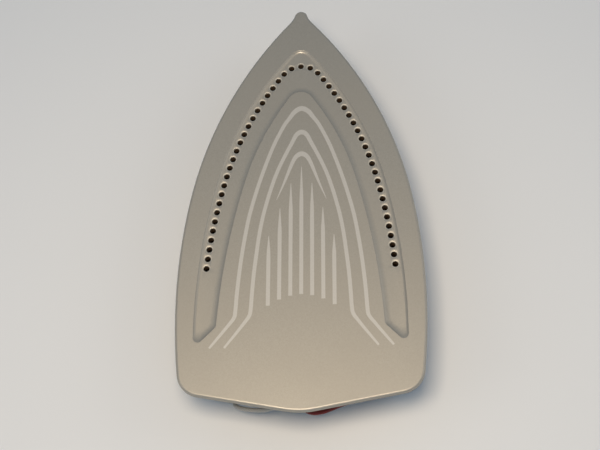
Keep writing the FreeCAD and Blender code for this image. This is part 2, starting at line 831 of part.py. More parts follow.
def add_chamber(body):
    """The chamber's wall, the staggered ribs inside it and the lid's screw bosses."""
    inner = -float(s.wall_inset)
    outer = inner + float(s.wall_thickness)
    nose = float(s.chamber_nose_radius)
    corner = float(s.chamber_corner_radius)
    rear = float(CHAMBER_REAR)
    wall = float(s.wall_thickness)
    back = depth(s.plate_thickness)

    ring = new_sketch(body, z=back)
    add_loop(ring, RECESS.closed_loop(outer, nose + wall, rear - wall, corner + wall))
    add_loop(ring, RECESS.closed_loop(inner, nose, rear, corner))
    pad(body, ring, s.wall_height)

    # The bosses start inside the plate, so that they meet its undercut edge.
    bosses = new_sketch(body, z=depth(s.plate_thickness - s.edge_undercut))
    add_circles(bosses, lid_screw_places(), s.boss_radius)
    pad(body, bosses, s.wall_height + s.edge_undercut)
    pilots = new_sketch(body, z=depth(WALL_TOP))
    add_circles(pilots, lid_screw_places(), s.screw_radius)
    pocket(body, pilots, s.lid_screw_grip, downward=False)

    ribs = new_sketch(body, z=back)
    side = 1
    y = rear + float(s.rib_pitch)
    while y < float(s.heater_apex_y - s.rib_pitch):
        reach = HEATER.reach(0.0, y)
        free_end = float(s.sheath_radius + s.ridge_cover + s.rib_gap) - reach
        middle = side * (reach + free_end) / 2
        add_loop(ribs, block_loop(middle, y, reach - free_end, float(s.rib_thickness)))
        side = -side
        y += float(s.rib_pitch)
    pad(body, ribs, s.rib_height)


def add_ridge(body):
    """The thick band that holds the heating element."""
    ridge = new_sketch(body, z=depth(s.plate_thickness))
    add_loop(ridge, heater_band(float(s.sheath_radius + s.ridge_cover)))
    pad(body, ridge, RIDGE_TOP - s.plate_thickness)


def add_posts(body):
    """Two ribbed screw posts at the heel and a stepped locating post at the nose."""
    back = depth(s.plate_thickness)
    height = s.stand_height - s.plate_thickness
    places = [(float(s.rear_post_x), float(s.rear_post_y)), (-float(s.rear_post_x), float(s.rear_post_y))]
    posts = new_sketch(body, z=back)
    add_circles(posts, places, s.post_radius)
    pad(body, posts, height)
    ribs = new_sketch(body, z=back)
    for x, y in places:
        add_loop(ribs, cross_loop(x, y, float(s.post_rib_length) / 2, float(s.post_rib_thickness) / 2))
    pad(body, ribs, s.post_rib_height)
    pilots = new_sketch(body)
    add_circles(pilots, places, s.pilot_radius)
    pocket(body, pilots, s.pilot_depth, downward=False)
    round_pad(body, s.front_post_radius, s.plate_thickness, height - s.spigot_length, y=s.front_post_y)
    round_pad(body, s.spigot_radius, s.plate_thickness, height, y=s.front_post_y)


def add_control_pads(body):
    """Raised pads for the heat control and the earth tab, and the pilot holes behind the chamber."""
    pads = new_sketch(body, z=depth(s.plate_thickness))
    add_loop(pads, block_loop(0.0, float(EAR_Y), float(s.pad_width), float(s.pad_length)))
    earth = (float(s.earth_x), float(EARTH_Y))
    add_circles(pads, [earth], s.earth_boss_radius)
    pad(body, pads, s.pad_height)
    ears = [(float(s.ear_screw_x), float(EAR_Y)), (-float(s.ear_screw_x), float(EAR_Y))]
    pilots = new_sketch(body, z=depth(PAD_TOP))
    add_circles(pilots, ears + [earth], s.screw_radius)
    pocket(body, pilots, s.short_screw_grip, downward=False)
    clip_grip = s.short_screw_grip - s.clip_thickness
    return round_pocket(body, s.screw_radius, s.plate_thickness, clip_grip, CLIP_SCREW_X, FUSE_Y)


CLIP_SCREW_X = -(s.fuse_x + s.fuse_radius + s.clip_thickness + s.clip_foot / 2)


# Heating element
def heater_path():
    """The hairpin's centre line: plan arcs, then both ends bent away from the sole face."""
    level = float(depth(s.heater_depth))
    end = float(s.heater_end_y)
    bend = float(s.bend_radius)
    half_width = float(s.heater_half_width)
    plan = HEATER.side(0.0, HEATER.apex_radius, HEATER.rear_angle(0.0, end))
    plan = plan + [HEATER.apex(0.0, HEATER.apex_radius)] + mirrored(plan)
    edges = []
    for curve in plan:
        edge = curve.toShape()
        edge.translate(Vector(0, 0, level))
        edges.append(edge)
    for x in (half_width, -half_width):
        start = Vector(x, end, level)
        turn = math.pi / 4
        middle = Vector(x, end - bend * math.sin(turn), level - bend * (1 - math.cos(turn)))
        finish = Vector(x, end - bend, level - bend)
        edges.append(Part.Arc(start, middle, finish).toShape())
        edges.append(Part.LineSegment(finish, finish - Vector(0, 0, float(s.heater_tail))).toShape())
    return Part.Wire(Part.sortEdges(edges)[0])


def swept_rod(path, radius):
    """A round rod along a path."""
    start = path.OrderedVertexes[0].Point
    first = path.OrderedEdges[0]
    ahead = first.tangentAt(first.FirstParameter)
    if first.valueAt(first.FirstParameter).distanceToPoint(start) > 1e-6:
        ahead = first.tangentAt(first.LastParameter)
    circle = Part.Wire(Part.Circle(start, ahead, radius).toShape())
    return path.makePipeShell([circle], True, False)


def add_shape(label, shape):
    """A sub-part whose shape is set directly."""
    feature = doc.addObject("Part::Feature", label)
    feature.Label = label
    feature.Shape = shape
    return feature


def make_heater():
    """The sheathed hairpin, its end beads and its pins."""
    pieces = [add_shape("heating_element", swept_rod(heater_path(), float(s.sheath_radius)))]
    for side, x in (("left", -s.heater_half_width), ("right", s.heater_half_width)):
        bead = [
            (s.pin_radius, HEATER_END),
            (s.bead_radius, HEATER_END),
            (s.bead_radius, BEAD_TOP),
            (s.pin_radius, BEAD_TOP),
        ]
        pieces.append(turned(f"{side}_end_bead", x, HEATER_END_Y, bead))
        pin = [(ZERO, HEATER_END), (s.pin_radius, HEATER_END), (s.pin_radius, PIN_END), (ZERO, PIN_END)]
        pieces.append(turned(f"{side}_heater_pin", x, HEATER_END_Y, pin))
    return pieces


def make_casting(blank, heater):
    """The finished casting, with the element's seat cut from it."""
    casting = doc.addObject("Part::Cut", "sole_casting")
    casting.Label = "sole_casting"
    casting.Base = blank
    casting.Tool = heater
    return casting


# Chamber lid
def make_seal():
    """The flat silicone seal on the chamber wall."""
    body = new_body("chamber_seal")
    inner = float(s.seal_inset - s.wall_inset)
    width = float(s.wall_thickness - s.seal_inset * 2)
    nose = float(s.chamber_nose_radius + s.seal_inset)
    corner = float(s.chamber_corner_radius + s.seal_inset)
    rear = float(CHAMBER_REAR - s.seal_inset)
    sketch = new_sketch(body, z=depth(WALL_TOP))
    add_loop(sketch, RECESS.closed_loop(inner + width, nose + width, rear - width, corner + width))
    add_loop(sketch, RECESS.closed_loop(inner, nose, rear, corner))
    pad(body, sketch, s.seal_thickness)
    return body


def make_lid():
    """The pressed lid: a flat rim with screw ears and a raised field with the water inlet's hole."""
    body = new_body("chamber_lid")
    edge = s.wall_thickness - s.wall_inset - s.lid_inset
    wall = s.wall_thickness - s.lid_inset
    nose = float(s.chamber_nose_radius + wall)
    corner = float(s.chamber_corner_radius + wall)
    sheet_sketch = new_sketch(body, z=depth(LID_SEAT))
    add_loop(sheet_sketch, RECESS.closed_loop(float(edge), nose, float(CHAMBER_REAR - wall), corner))
    pad(body, sheet_sketch, s.lid_thickness)
    ears = new_sketch(body, z=depth(LID_SEAT))
    add_circles(ears, lid_screw_places(), s.ear_radius)
    pad(body, ears, s.lid_thickness)

    def field_loop(inset):
        return RECESS.closed_loop(
            -float(s.wall_inset + inset),
            float(s.chamber_nose_radius - inset),
            float(CHAMBER_REAR + inset),
            float(s.chamber_corner_radius + inset),
        )

    raised = new_sketch(body, z=depth(LID_BACK))
    add_loop(raised, field_loop(s.field_inset))
    field = pad(body, raised, s.field_rise)
    doc.recompute()
    brink = edge_names(field.Shape, lambda item: lies_at(item, float(depth(LID_BACK + s.field_rise))))
    dress(body, "Fillet", field, brink, s.field_rise * 0.7)
    hollow = new_sketch(body, z=depth(LID_SEAT))
    add_loop(hollow, field_loop(s.field_inset + s.lid_thickness))
    pocket(body, hollow, s.field_rise)
    screw_holes = new_sketch(body, z=depth(LID_SEAT))
    add_circles(screw_holes, lid_screw_places(), s.screw_radius)
    pocket(body, screw_holes, s.lid_thickness)
    inlet_hole = new_sketch(body, y=s.inlet_y, z=depth(LID_SEAT))
    add_circle(inlet_hole, s.inlet_neck_radius)
    pocket(body, inlet_hole, s.lid_thickness + s.field_rise)
    return body


def make_drip_grommet():
    """The silicone ring that grips the lid and takes the water valve's nozzle."""
    inside = LID_SEAT + s.field_rise
    outside = LID_BACK + s.field_rise
    outline = [
        (s.inlet_radius, inside - s.inlet_flange),
        (s.inlet_flange_radius, inside - s.inlet_flange),
        (s.inlet_flange_radius, inside),
        (s.inlet_neck_radius, inside),
        (s.inlet_neck_radius, outside),
        (s.inlet_flange_radius, outside),
        (s.inlet_flange_radius, outside + s.inlet_flange),
        (s.inlet_neck_radius, outside + s.inlet_height),
        (s.inlet_radius, outside + s.inlet_height),
    ]
    return turned("drip_grommet", ZERO, s.inlet_y, outline)


def make_screws(label, places, seat, grip):
    """A group of like screws whose heads rest at a seat; the grip runs up from the seat."""
    outline = [
        (ZERO, seat - grip),
        (s.screw_radius, seat - grip),
        (s.screw_radius, seat),
        (s.screw_head_radius, seat),
        (s.screw_head_radius, seat + s.screw_head_height / 2),
        (s.screw_head_radius - s.screw_head_height / 2, seat + s.screw_head_height),
        (ZERO, seat + s.screw_head_height),
    ]
    pattern = turned(f"{label}_pattern", ZERO, ZERO, outline)
    across = s.screw_head_radius * 1.3
    for width, length in ((s.screw_slot, across), (across, s.screw_slot)):
        slot = new_sketch(pattern, z=depth(seat + s.screw_head_height))
        add_rectangle(slot, width, length)
        pocket(pattern, slot, s.screw_slot_depth, downward=False)
    doc.recompute()
    copies = [pattern.Shape.translated(Vector(x, y, 0)) for x, y in places]
    return add_shape(label, copies[0] if len(copies) == 1 else Part.makeCompound(copies))


# Heat control
def strip(label, width, front, rear, level, thickness):
    """A flat strip along Y on the control's centre line."""
    body = new_body(label)
    box_pad(body, width, front - rear, level, thickness, y=(front + rear) / 2)
    return body


def stack_hole(body, level, thickness, radius):
    """The hole through which the stack is riveted."""
    round_pocket(body, radius, level + thickness, thickness, y=STACK_Y)


def make_control_foot():
    """The foot plate with two screw ears."""
    body = strip("control_foot", s.foot_width, CONTROL_FRONT, STACK_REAR, PAD_TOP, s.foot_thickness)
    box_pad(body, s.ear_span, s.ear_length, PAD_TOP, s.foot_thickness, y=EAR_Y)
    for x in (s.ear_screw_x, -s.ear_screw_x):
        round_pocket(body, s.screw_radius, FOOT_TOP, s.foot_thickness, x, EAR_Y)
    stack_hole(body, PAD_TOP, s.foot_thickness, s.rivet_radius)
    return body


def make_bimetal():
    """The bimetal strip that lies on the foot."""
    body = strip("bimetal_strip", s.bimetal_width, CONTROL_FRONT, STACK_REAR, FOOT_TOP, s.bimetal_thickness)
    stack_hole(body, FOOT_TOP, s.bimetal_thickness, s.rivet_radius)
    return body


def make_insulators():
    """Four ceramic rings that part the stack's metal strips."""
    levels = {
        "first": BIMETAL_TOP,
        "second": SECOND_INSULATOR,
        "third": THIRD_INSULATOR,
        "fourth": FOURTH_INSULATOR,
    }
    rings = []
    for name, level in levels.items():
        outline = [
            (s.sleeve_radius, level),
            (s.insulator_radius, level),
            (s.insulator_radius, level + s.insulator_height),
            (s.sleeve_radius, level + s.insulator_height),
        ]
        rings.append(turned(f"{name}_insulator", ZERO, STACK_Y, outline))
    return rings


def make_blades():
    """The moving and fixed contact blades and the neutral tab, each with its push-on tab."""
    moving = strip("moving_blade", s.blade_width, CONTROL_FRONT, STACK_REAR, MOVING_LEVEL, s.blade_thickness)
    tab_y = STACK_REAR - s.tab_length / 2
    box_pad(moving, s.tab_width, s.tab_length, MOVING_LEVEL, s.blade_thickness, y=tab_y)
    fixed = strip("fixed_blade", s.blade_width, CONTROL_FRONT, STACK_REAR, FIXED_LEVEL, s.blade_thickness)
    tab_x = s.side_tab_reach / 2
    box_pad(fixed, s.side_tab_reach, s.tab_width, FIXED_LEVEL, s.blade_thickness, tab_x, STACK_Y)
    neutral = new_body("neutral_tab")
    round_pad(neutral, s.insulator_radius, NEUTRAL_LEVEL, s.blade_thickness, y=STACK_Y)
    box_pad(neutral, s.side_tab_reach, s.tab_width, NEUTRAL_LEVEL, s.blade_thickness, -tab_x, STACK_Y)
    for body, level in ((moving, MOVING_LEVEL), (fixed, FIXED_LEVEL), (neutral, NEUTRAL_LEVEL)):
        stack_hole(body, level, s.blade_thickness, s.sleeve_radius)
    return [moving, fixed, neutral]


def make_contacts():
    """The two silver contacts, closed when cold, and the ceramic pin that opens them."""
    half_gap = s.insulator_height / 2
    pieces = []
    for label, level in (("moving_contact", THIRD_INSULATOR), ("fixed_contact", THIRD_INSULATOR + half_gap)):
        outline = [
            (ZERO, level),
            (s.contact_radius, level),
            (s.contact_radius, level + half_gap),
            (ZERO, level + half_gap),
        ]
        pieces.append(turned(label, ZERO, CONTACT_Y, outline))
    actuator = [
        (ZERO, BIMETAL_TOP),
        (s.actuator_radius, BIMETAL_TOP),
        (s.actuator_radius, MOVING_LEVEL),
        (ZERO, MOVING_LEVEL),
    ]
    pieces.append(turned("actuator_pin", ZERO, ACTUATOR_Y, actuator))
    return pieces


def make_stack_fixing():
    """The rivet through the stack and the sleeve that keeps it from the blades."""
    sleeve = [
        (s.rivet_radius, BIMETAL_TOP),
        (s.sleeve_radius, BIMETAL_TOP),
        (s.sleeve_radius, ADJUSTER_LEVEL),
        (s.rivet_radius, ADJUSTER_LEVEL),
    ]
    rivet = [
        (s.rivet_bore, PAD_TOP - s.rivet_head),
        (s.rivet_head_radius, PAD_TOP - s.rivet_head),
        (s.rivet_head_radius, PAD_TOP),
        (s.rivet_radius, PAD_TOP),
        (s.rivet_radius, ADJUSTER_TOP),
        (s.rivet_head_radius, ADJUSTER_TOP),
        (s.rivet_head_radius, ADJUSTER_TOP + s.rivet_head / 2),
        (s.rivet_radius, ADJUSTER_TOP + s.rivet_head),
        (s.rivet_bore, ADJUSTER_TOP + s.rivet_head),
    ]
    return [turned("stack_sleeve", ZERO, STACK_Y, sleeve), turned("stack_rivet", ZERO, STACK_Y, rivet)]


def make_adjuster():
    """The plate over the stack, its bush and the spindle that sets the temperature."""
    front = SPINDLE_Y + s.bush_flange_radius
    thick = s.adjuster_thickness
    plate = strip("adjuster_plate", s.adjuster_width, front, STACK_REAR, ADJUSTER_LEVEL, thick)
    stack_hole(plate, ADJUSTER_LEVEL, thick, s.rivet_radius)
    round_pocket(plate, s.bush_radius, ADJUSTER_TOP, thick, y=SPINDLE_Y)
    bore = s.spindle_radius + s.spindle_clearance
    bush_end = ADJUSTER_TOP + s.bush_rise
    bush = [
        (bore, ADJUSTER_LEVEL - s.bush_flange),
        (s.bush_flange_radius, ADJUSTER_LEVEL - s.bush_flange),
        (s.bush_flange_radius, ADJUSTER_LEVEL),
        (s.bush_radius, ADJUSTER_LEVEL),
        (s.bush_radius, bush_end),
        (bore, bush_end),
    ]
    collar = bush_end + s.spindle_gap
    spindle_end = collar + s.spindle_collar + s.spindle_end
    spindle = [
        (ZERO, FOURTH_INSULATOR + s.spindle_gap),
        (s.spindle_radius, FOURTH_INSULATOR + s.spindle_gap),
        (s.spindle_radius, collar),
        (s.spindle_collar_radius, collar),
        (s.spindle_collar_radius, collar + s.spindle_collar),
        (s.spindle_radius, collar + s.spindle_collar),
        (s.spindle_radius, spindle_end),
        (ZERO, spindle_end),
    ]
    spindle_body = turned("adjuster_spindle", ZERO, SPINDLE_Y, spindle)
    slot = new_sketch(spindle_body, z=depth(spindle_end))
    add_rectangle(slot, s.spindle_radius * 3, s.spindle_slot)
    pocket(spindle_body, slot, s.spindle_slot_depth, downward=False)
    return [plate, turned("adjuster_bush", ZERO, SPINDLE_Y, bush), spindle_body]


# Fuse, leads and earth
def rounded_path(points):
    """Straight runs joined by tangent arcs that are as large as the runs allow; prints the arcs' radii."""
    share = 0.45
    edges = []
    radii = []
    last = points[0]
    for index in range(1, len(points) - 1):
        corner = points[index]
        back = points[index - 1] - corner
        ahead = points[index + 1] - corner
        setback = share * min(back.Length, ahead.Length)
        turn = math.pi - back.getAngle(ahead)
        radii.append(setback / math.tan(turn / 2))
        back.normalize()
        ahead.normalize()
        start = corner + back * setback
        finish = corner + ahead * setback
        inward = (back + ahead).normalize()
        middle = corner + inward * (radii[-1] / math.cos(turn / 2) - radii[-1])
        edges.append(Part.LineSegment(last, start).toShape())
        edges.append(Part.Arc(start, middle, finish).toShape())
        last = finish
    edges.append(Part.LineSegment(last, points[-1]).toShape())
    print("lead radii", [round(radius, 1) for radius in radii])
    return Part.Wire(edges)


def route(points):
    """Route points given as x, y and depth below the sole face."""
    return [Vector(float(x), float(y), float(depth(Size(0, "0") + below))) for x, y, below in points]


def make_leads():
    """The grey lead from the left pin to the fuse and the red lead from the control to the right pin."""
    inside = FERRULE_END + s.ferrule_grip
    fuse_level = s.plate_thickness + s.fuse_radius
    blade_middle = MOVING_LEVEL + s.blade_thickness / 2
    grey = [
        (-s.heater_half_width, inside, FERRULE_LEVEL),
        (-s.heater_half_width, FERRULE_END - s.lead_straight, FERRULE_LEVEL),
        (-31.4, -93.4, 29.6),
        (-31.2, -97.4, 27.0),
        (-28.0, -100.4, 23.6),
        (-22.8, -101.8, 20.2),
        (-17.2, -102.8, 16.8),
        (-12.4, -101.8, 13.0),
        (-10.8, -98.0, 9.8),
        (-11.8, -94.2, 7.8),
        (-s.fuse_x, FUSE_REAR - s.lead_straight, fuse_level),
        (-s.fuse_x, FUSE_REAR, fuse_level),
    ]
    ferrule_end = RECEPTACLE_REAR - s.receptacle_ferrule
    red = [
        (ZERO, ferrule_end + s.receptacle_grip, blade_middle),
        (ZERO, ferrule_end - s.lead_straight, blade_middle),
        (1.2, -101.8, 17.0),
        (4.8, -104.6, 16.8),
        (9.6, -104.2, 17.2),
        (14.2, -101.5, 18.8),
        (18.6, -98.6, 21.4),
        (23.4, -96.4, 24.8),
        (27.8, -94.0, 28.4),
        (s.heater_half_width, FERRULE_END - s.lead_straight, FERRULE_LEVEL),
        (s.heater_half_width, inside, FERRULE_LEVEL),
    ]
    return [
        add_shape("grey_lead", swept_rod(rounded_path(route(grey)), float(s.grey_lead_radius))),
        add_shape("red_lead", swept_rod(rounded_path(route(red)), float(s.red_lead_radius))),
    ]


def rod_along_heel(body, radius, x, front, level, length):
    """A round pad from a front place towards the heel."""
    sketch = new_sketch(body, plane="XZ_Plane", x=x, y=depth(level), z=-front)
    add_circle(sketch, radius)
    return pad(body, sketch, length, downward=False)


def bore_from_heel(body, radius, x, rear, level, length):
    """A round hole that runs forward from a rear face."""
    sketch = new_sketch(body, plane="XZ_Plane", x=x, y=depth(level), z=-rear)
    add_circle(sketch, radius)
    return pocket(body, sketch, length)


def make_pin_connectors():
    """The barrels pushed on the heater's pins, each with a crimped ferrule for its lead."""
    pieces = []
    left = ("left", -s.heater_half_width, s.grey_lead_radius)
    right = ("right", s.heater_half_width, s.red_lead_radius)
    for side, x, lead_radius in (left, right):
        body = new_body(f"{side}_pin_connector")
        top = BEAD_TOP + s.barrel_gap
        round_pad(body, s.barrel_radius, top, s.barrel_height, x, HEATER_END_Y)
        ferrule = s.barrel_radius + s.ferrule_length
        rod_along_heel(body, lead_radius + s.ferrule_wall, x, HEATER_END_Y, FERRULE_LEVEL, ferrule)
        round_pocket(body, s.pin_radius, top + s.barrel_height, s.barrel_height, x, HEATER_END_Y)
        bore_from_heel(body, lead_radius, x, FERRULE_END, FERRULE_LEVEL, s.ferrule_grip)
        pieces.append(body)
    return pieces


def make_receptacle():
    """The push-on terminal of the red lead, over the moving blade's tab."""
    body = new_body("red_lead_receptacle")
    level = MOVING_LEVEL + s.blade_thickness / 2
    front = RECEPTACLE_REAR + s.receptacle_length
    middle = RECEPTACLE_REAR + s.receptacle_length / 2
    top = level - s.receptacle_height / 2
    box_pad(body, s.receptacle_width, s.receptacle_length, top, s.receptacle_height, y=middle)
    ferrule_radius = s.red_lead_radius + s.ferrule_wall
    rod_along_heel(body, ferrule_radius, ZERO, RECEPTACLE_REAR, level, s.receptacle_ferrule)
    slot = new_sketch(body, plane="XZ_Plane", y=depth(level), z=-front)
    add_rectangle(slot, s.tab_width, s.blade_thickness)
    pocket(body, slot, front - STACK_REAR + s.tab_length, downward=False)
    ferrule_end = RECEPTACLE_REAR - s.receptacle_ferrule
    bore_from_heel(body, s.red_lead_radius, ZERO, ferrule_end, level, s.receptacle_grip)
    return body


def make_fuse():
    """The fuse capsule with its bare wire bent up to the neutral tab."""
    level = float(depth(s.plate_thickness + s.fuse_radius))
    x = -float(s.fuse_x)
    rear = Vector(x, float(FUSE_REAR), level)
    capsule = Part.makeCylinder(float(s.fuse_radius), float(s.fuse_length), rear, Vector(0, 1, 0))
    front = rear + Vector(0, float(s.fuse_length), 0)
    corner = front + Vector(0, float(s.fuse_wire_reach), 0)
    end = Vector(corner.x, corner.y, float(depth(NEUTRAL_LEVEL)))
    wire = swept_rod(rounded_path([front, corner, end]), float(s.fuse_wire_radius))
    return add_shape("thermal_fuse", capsule.fuse(wire).removeSplitter())


def make_fuse_clip():
    """The sheet clip that holds the fuse against the casting."""
    body = new_body("fuse_clip")
    sketch = new_sketch(body, plane="XZ_Plane", z=-FUSE_Y - s.clip_width / 2)
    centre = (-float(s.fuse_x), float(depth(s.plate_thickness + s.fuse_radius)))
    back = float(depth(s.plate_thickness))
    inner = float(s.fuse_radius)
    outer = inner + float(s.clip_thickness)
    sheet_back = back - float(s.clip_thickness)
    foot_end = centre[0] - outer - float(s.clip_foot)
    corners = [
        (centre[0] - inner, centre[1]),
        (centre[0] - inner, back),
        (foot_end, back),
        (foot_end, sheet_back),
        (centre[0] - outer, sheet_back),
        (centre[0] - outer, centre[1]),
    ]
    lip = [(centre[0] + outer, centre[1]), (centre[0] + outer, sheet_back), (centre[0] + inner, sheet_back)]
    lip.append((centre[0] + inner, centre[1]))
    curves = [line(corners[index], corners[index + 1]) for index in range(5)]
    curves.append(arc(centre, outer, math.pi, 2 * math.pi))
    curves += [line(lip[index], lip[index + 1]) for index in range(3)]
    curves.append(arc(centre, inner, math.pi, 2 * math.pi))
    add_loop(sketch, curves)
    pad(body, sketch, s.clip_width, downward=False)
    clip_back = s.plate_thickness + s.clip_thickness
    round_pocket(body, s.screw_radius, clip_back, s.clip_thickness, CLIP_SCREW_X, FUSE_Y)
    return body


def make_earth_tab():
    """The earth tab: a foot on its boss and an upright push-on tab."""
    body = new_body("earth_tab")
    box_pad(body, s.earth_foot, s.earth_foot, PAD_TOP, s.blade_thickness, s.earth_x, EARTH_Y)
    front = EARTH_Y + s.earth_foot / 2 - s.blade_thickness / 2
    height = s.earth_tab_height + s.blade_thickness
    box_pad(body, s.tab_width, s.blade_thickness, PAD_TOP, height, s.earth_x, front)
    round_pocket(body, s.screw_radius, PAD_TOP + s.blade_thickness, s.blade_thickness, s.earth_x, EARTH_Y)
    return body


heater_pieces = make_heater()
sub_parts = [make_casting(make_sole_blank(), heater_pieces[0])]
sub_parts += heater_pieces
sub_parts += [make_seal(), make_lid(), make_drip_grommet()]
sub_parts.append(make_screws("lid_screws", lid_screw_places(), LID_BACK, s.lid_screw_grip))
sub_parts += [make_control_foot(), make_bimetal()]
sub_parts += make_insulators()
sub_parts += make_blades()
sub_parts += make_contacts()
sub_parts += make_stack_fixing()
sub_parts += make_adjuster()
ear_places = [(float(x), float(EAR_Y)) for x in (s.ear_screw_x, -s.ear_screw_x)]
sub_parts.append(make_screws("control_screws", ear_places, FOOT_TOP, s.short_screw_grip))
sub_parts += [make_fuse(), make_fuse_clip()]
clip_place = [(float(CLIP_SCREW_X), float(FUSE_Y))]
clip_seat = s.plate_thickness + s.clip_thickness
sub_parts.append(make_screws("fuse_clip_screw", clip_place, clip_seat, s.short_screw_grip))
sub_parts += make_pin_connectors()
sub_parts += make_leads()
sub_parts.append(make_receptacle())
sub_parts.append(make_earth_tab())
earth_place = [(float(s.earth_x), float(EARTH_Y))]
sub_parts.append(make_screws("earth_screw", earth_place, PAD_TOP + s.blade_thickness, s.short_screw_grip))
doc.recompute()

for item in doc.Objects:
    if "Invalid" in item.State or "Error" in item.State:
        raise RuntimeError(f"{item.Label} failed to build: {item.getStatusString()}")
for item in sub_parts:
    if item.Shape.isNull() or not item.Shape.isValid():
        raise RuntimeError(f"{item.Label} has no valid shape")

os.makedirs("parts", exist_ok=True)
for item in sub_parts:
    item.Shape.exportStep(f"parts/{item.Label}.step")
    print(f"{item.Label}: {len(item.Shape.Solids)} solids, {item.Shape.Volume:.1f} cubic mm")
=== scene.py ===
import json
import math

import bmesh
import bpy
from mathutils import Matrix, Vector

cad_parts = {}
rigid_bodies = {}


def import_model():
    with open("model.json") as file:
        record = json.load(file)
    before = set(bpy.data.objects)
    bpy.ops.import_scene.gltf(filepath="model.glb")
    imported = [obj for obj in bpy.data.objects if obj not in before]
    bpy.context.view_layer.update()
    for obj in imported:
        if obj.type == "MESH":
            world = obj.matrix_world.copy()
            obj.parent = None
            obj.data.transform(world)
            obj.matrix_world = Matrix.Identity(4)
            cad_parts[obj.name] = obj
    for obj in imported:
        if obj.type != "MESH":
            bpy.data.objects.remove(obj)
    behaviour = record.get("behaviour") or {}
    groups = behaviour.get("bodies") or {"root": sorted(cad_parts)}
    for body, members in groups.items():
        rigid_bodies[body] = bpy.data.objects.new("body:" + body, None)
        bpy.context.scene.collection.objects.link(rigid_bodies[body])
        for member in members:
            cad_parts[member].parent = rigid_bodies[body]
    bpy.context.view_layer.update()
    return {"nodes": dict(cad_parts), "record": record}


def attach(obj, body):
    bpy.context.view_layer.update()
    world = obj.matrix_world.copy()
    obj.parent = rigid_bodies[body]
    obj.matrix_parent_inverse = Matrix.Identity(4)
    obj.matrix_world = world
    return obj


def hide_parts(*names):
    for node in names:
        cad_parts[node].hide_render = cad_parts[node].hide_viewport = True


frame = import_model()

# The soleplate of a steam iron, lying face up on its cast posts. Lengths here are in millimetres and
# become metres where Blender takes them. +Y is the nose, +Z is up out of the sole face.
MM = 0.001

# Heights on the casting: the sole face, the back of the plate, the foot of the dishes round the steam
# holes, and how far down the holes the spray of the coat reaches
FACE_HEIGHT = 36.0
PLATE_BACK = 31.0
RIM_FOOT = 34.75
SPRAY_REACH = 33.7
# Height just over the recess floor, and how upright the normals of the dishes in it are
DISH_TOP = 35.1
DISH_LEAN = (0.88, 0.94)


# Node and colour helpers
def linear(hex_colour):
    """An sRGB hex colour as linear RGBA."""
    channels = [int(hex_colour[place : place + 2], 16) / 255 for place in (1, 3, 5)]
    spread = [c / 12.92 if c <= 0.04045 else ((c + 0.055) / 1.055) ** 2.4 for c in channels]
    return (*spread, 1.0)


def per_mm(size):
    """Texture scale at which one pattern cell is a size in millimetres."""
    return 1 / (size * MM)


def add(tree, kind, inputs=None, **settings):
    """One node with its settings; an input is a value, or the output socket that feeds it."""
    made = tree.nodes.new(kind)
    for name, value in settings.items():
        setattr(made, name, value)
    for name, value in (inputs or {}).items():
        if isinstance(value, bpy.types.NodeSocket):
            tree.links.new(value, made.inputs[name])
        else:
            made.inputs[name].default_value = value
    return made


def new_finish(name, **surface):
    """A material with one principled surface; returns the material, its tree and its shader."""
    finish = bpy.data.materials.new(name)
    finish.use_nodes = True
    tree = finish.node_tree
    shader = tree.nodes["Principled BSDF"]
    for socket, value in surface.items():
        shader.inputs[socket.replace("_", " ")].default_value = value
    return finish, tree, shader


def feed(tree, shader, colour, rough=None, bump=None):
    """Links the nodes that make a finish's colour, roughness and bump to its shader."""
    tree.links.new(colour.outputs["Result"], shader.inputs["Base Color"])
    if rough:
        tree.links.new(rough.outputs["Result"], shader.inputs["Roughness"])
    if bump:
        tree.links.new(bump.outputs["Normal"], shader.inputs["Normal"])


# Finishes
def sole_coat():
    """Ceramic coat sprayed over cast aluminium: satin champagne, with fine flake under a glassy skin."""
    finish, tree, shader = new_finish(
        "sprayed_ceramic_coat", Metallic=0.6, Coat_Weight=0.8, Coat_Roughness=0.2
    )
    place = add(tree, "ShaderNodeTexCoord").outputs["Object"]
    # Flake is about 0.05 mm in the spray; it is drawn at 0.5 mm so that it shows.
    flake = add(tree, "ShaderNodeTexVoronoi", {"Vector": place, "Scale": per_mm(0.5)})
    cloud = add(tree, "ShaderNodeTexNoise", {"Vector": place, "Scale": per_mm(38), "Detail": 3.0})
    peel = add(tree, "ShaderNodeTexNoise", {"Vector": place, "Scale": per_mm(0.9), "Detail": 2.0})
    tint = add(
        tree,
        "ShaderNodeMix",
        {"Factor": flake.outputs["Color"], "A": linear("#a4a095"), "B": linear("#b1ada2")},
        data_type="RGBA",
    )
    shade = add(
        tree,
        "ShaderNodeMix",
        {"Factor": cloud.outputs["Fac"], "A": tint.outputs["Result"], "B": linear("#a7a297")},
        data_type="RGBA",
    )
    rough = add(tree, "ShaderNodeMapRange", {"Value": cloud.outputs["Fac"], "To Min": 0.46, "To Max": 0.56})
    bump = add(
        tree, "ShaderNodeBump", {"Height": peel.outputs["Fac"], "Strength": 0.12, "Distance": 0.03 * MM}
    )
    feed(tree, shader, shade, rough, bump)
    return finish


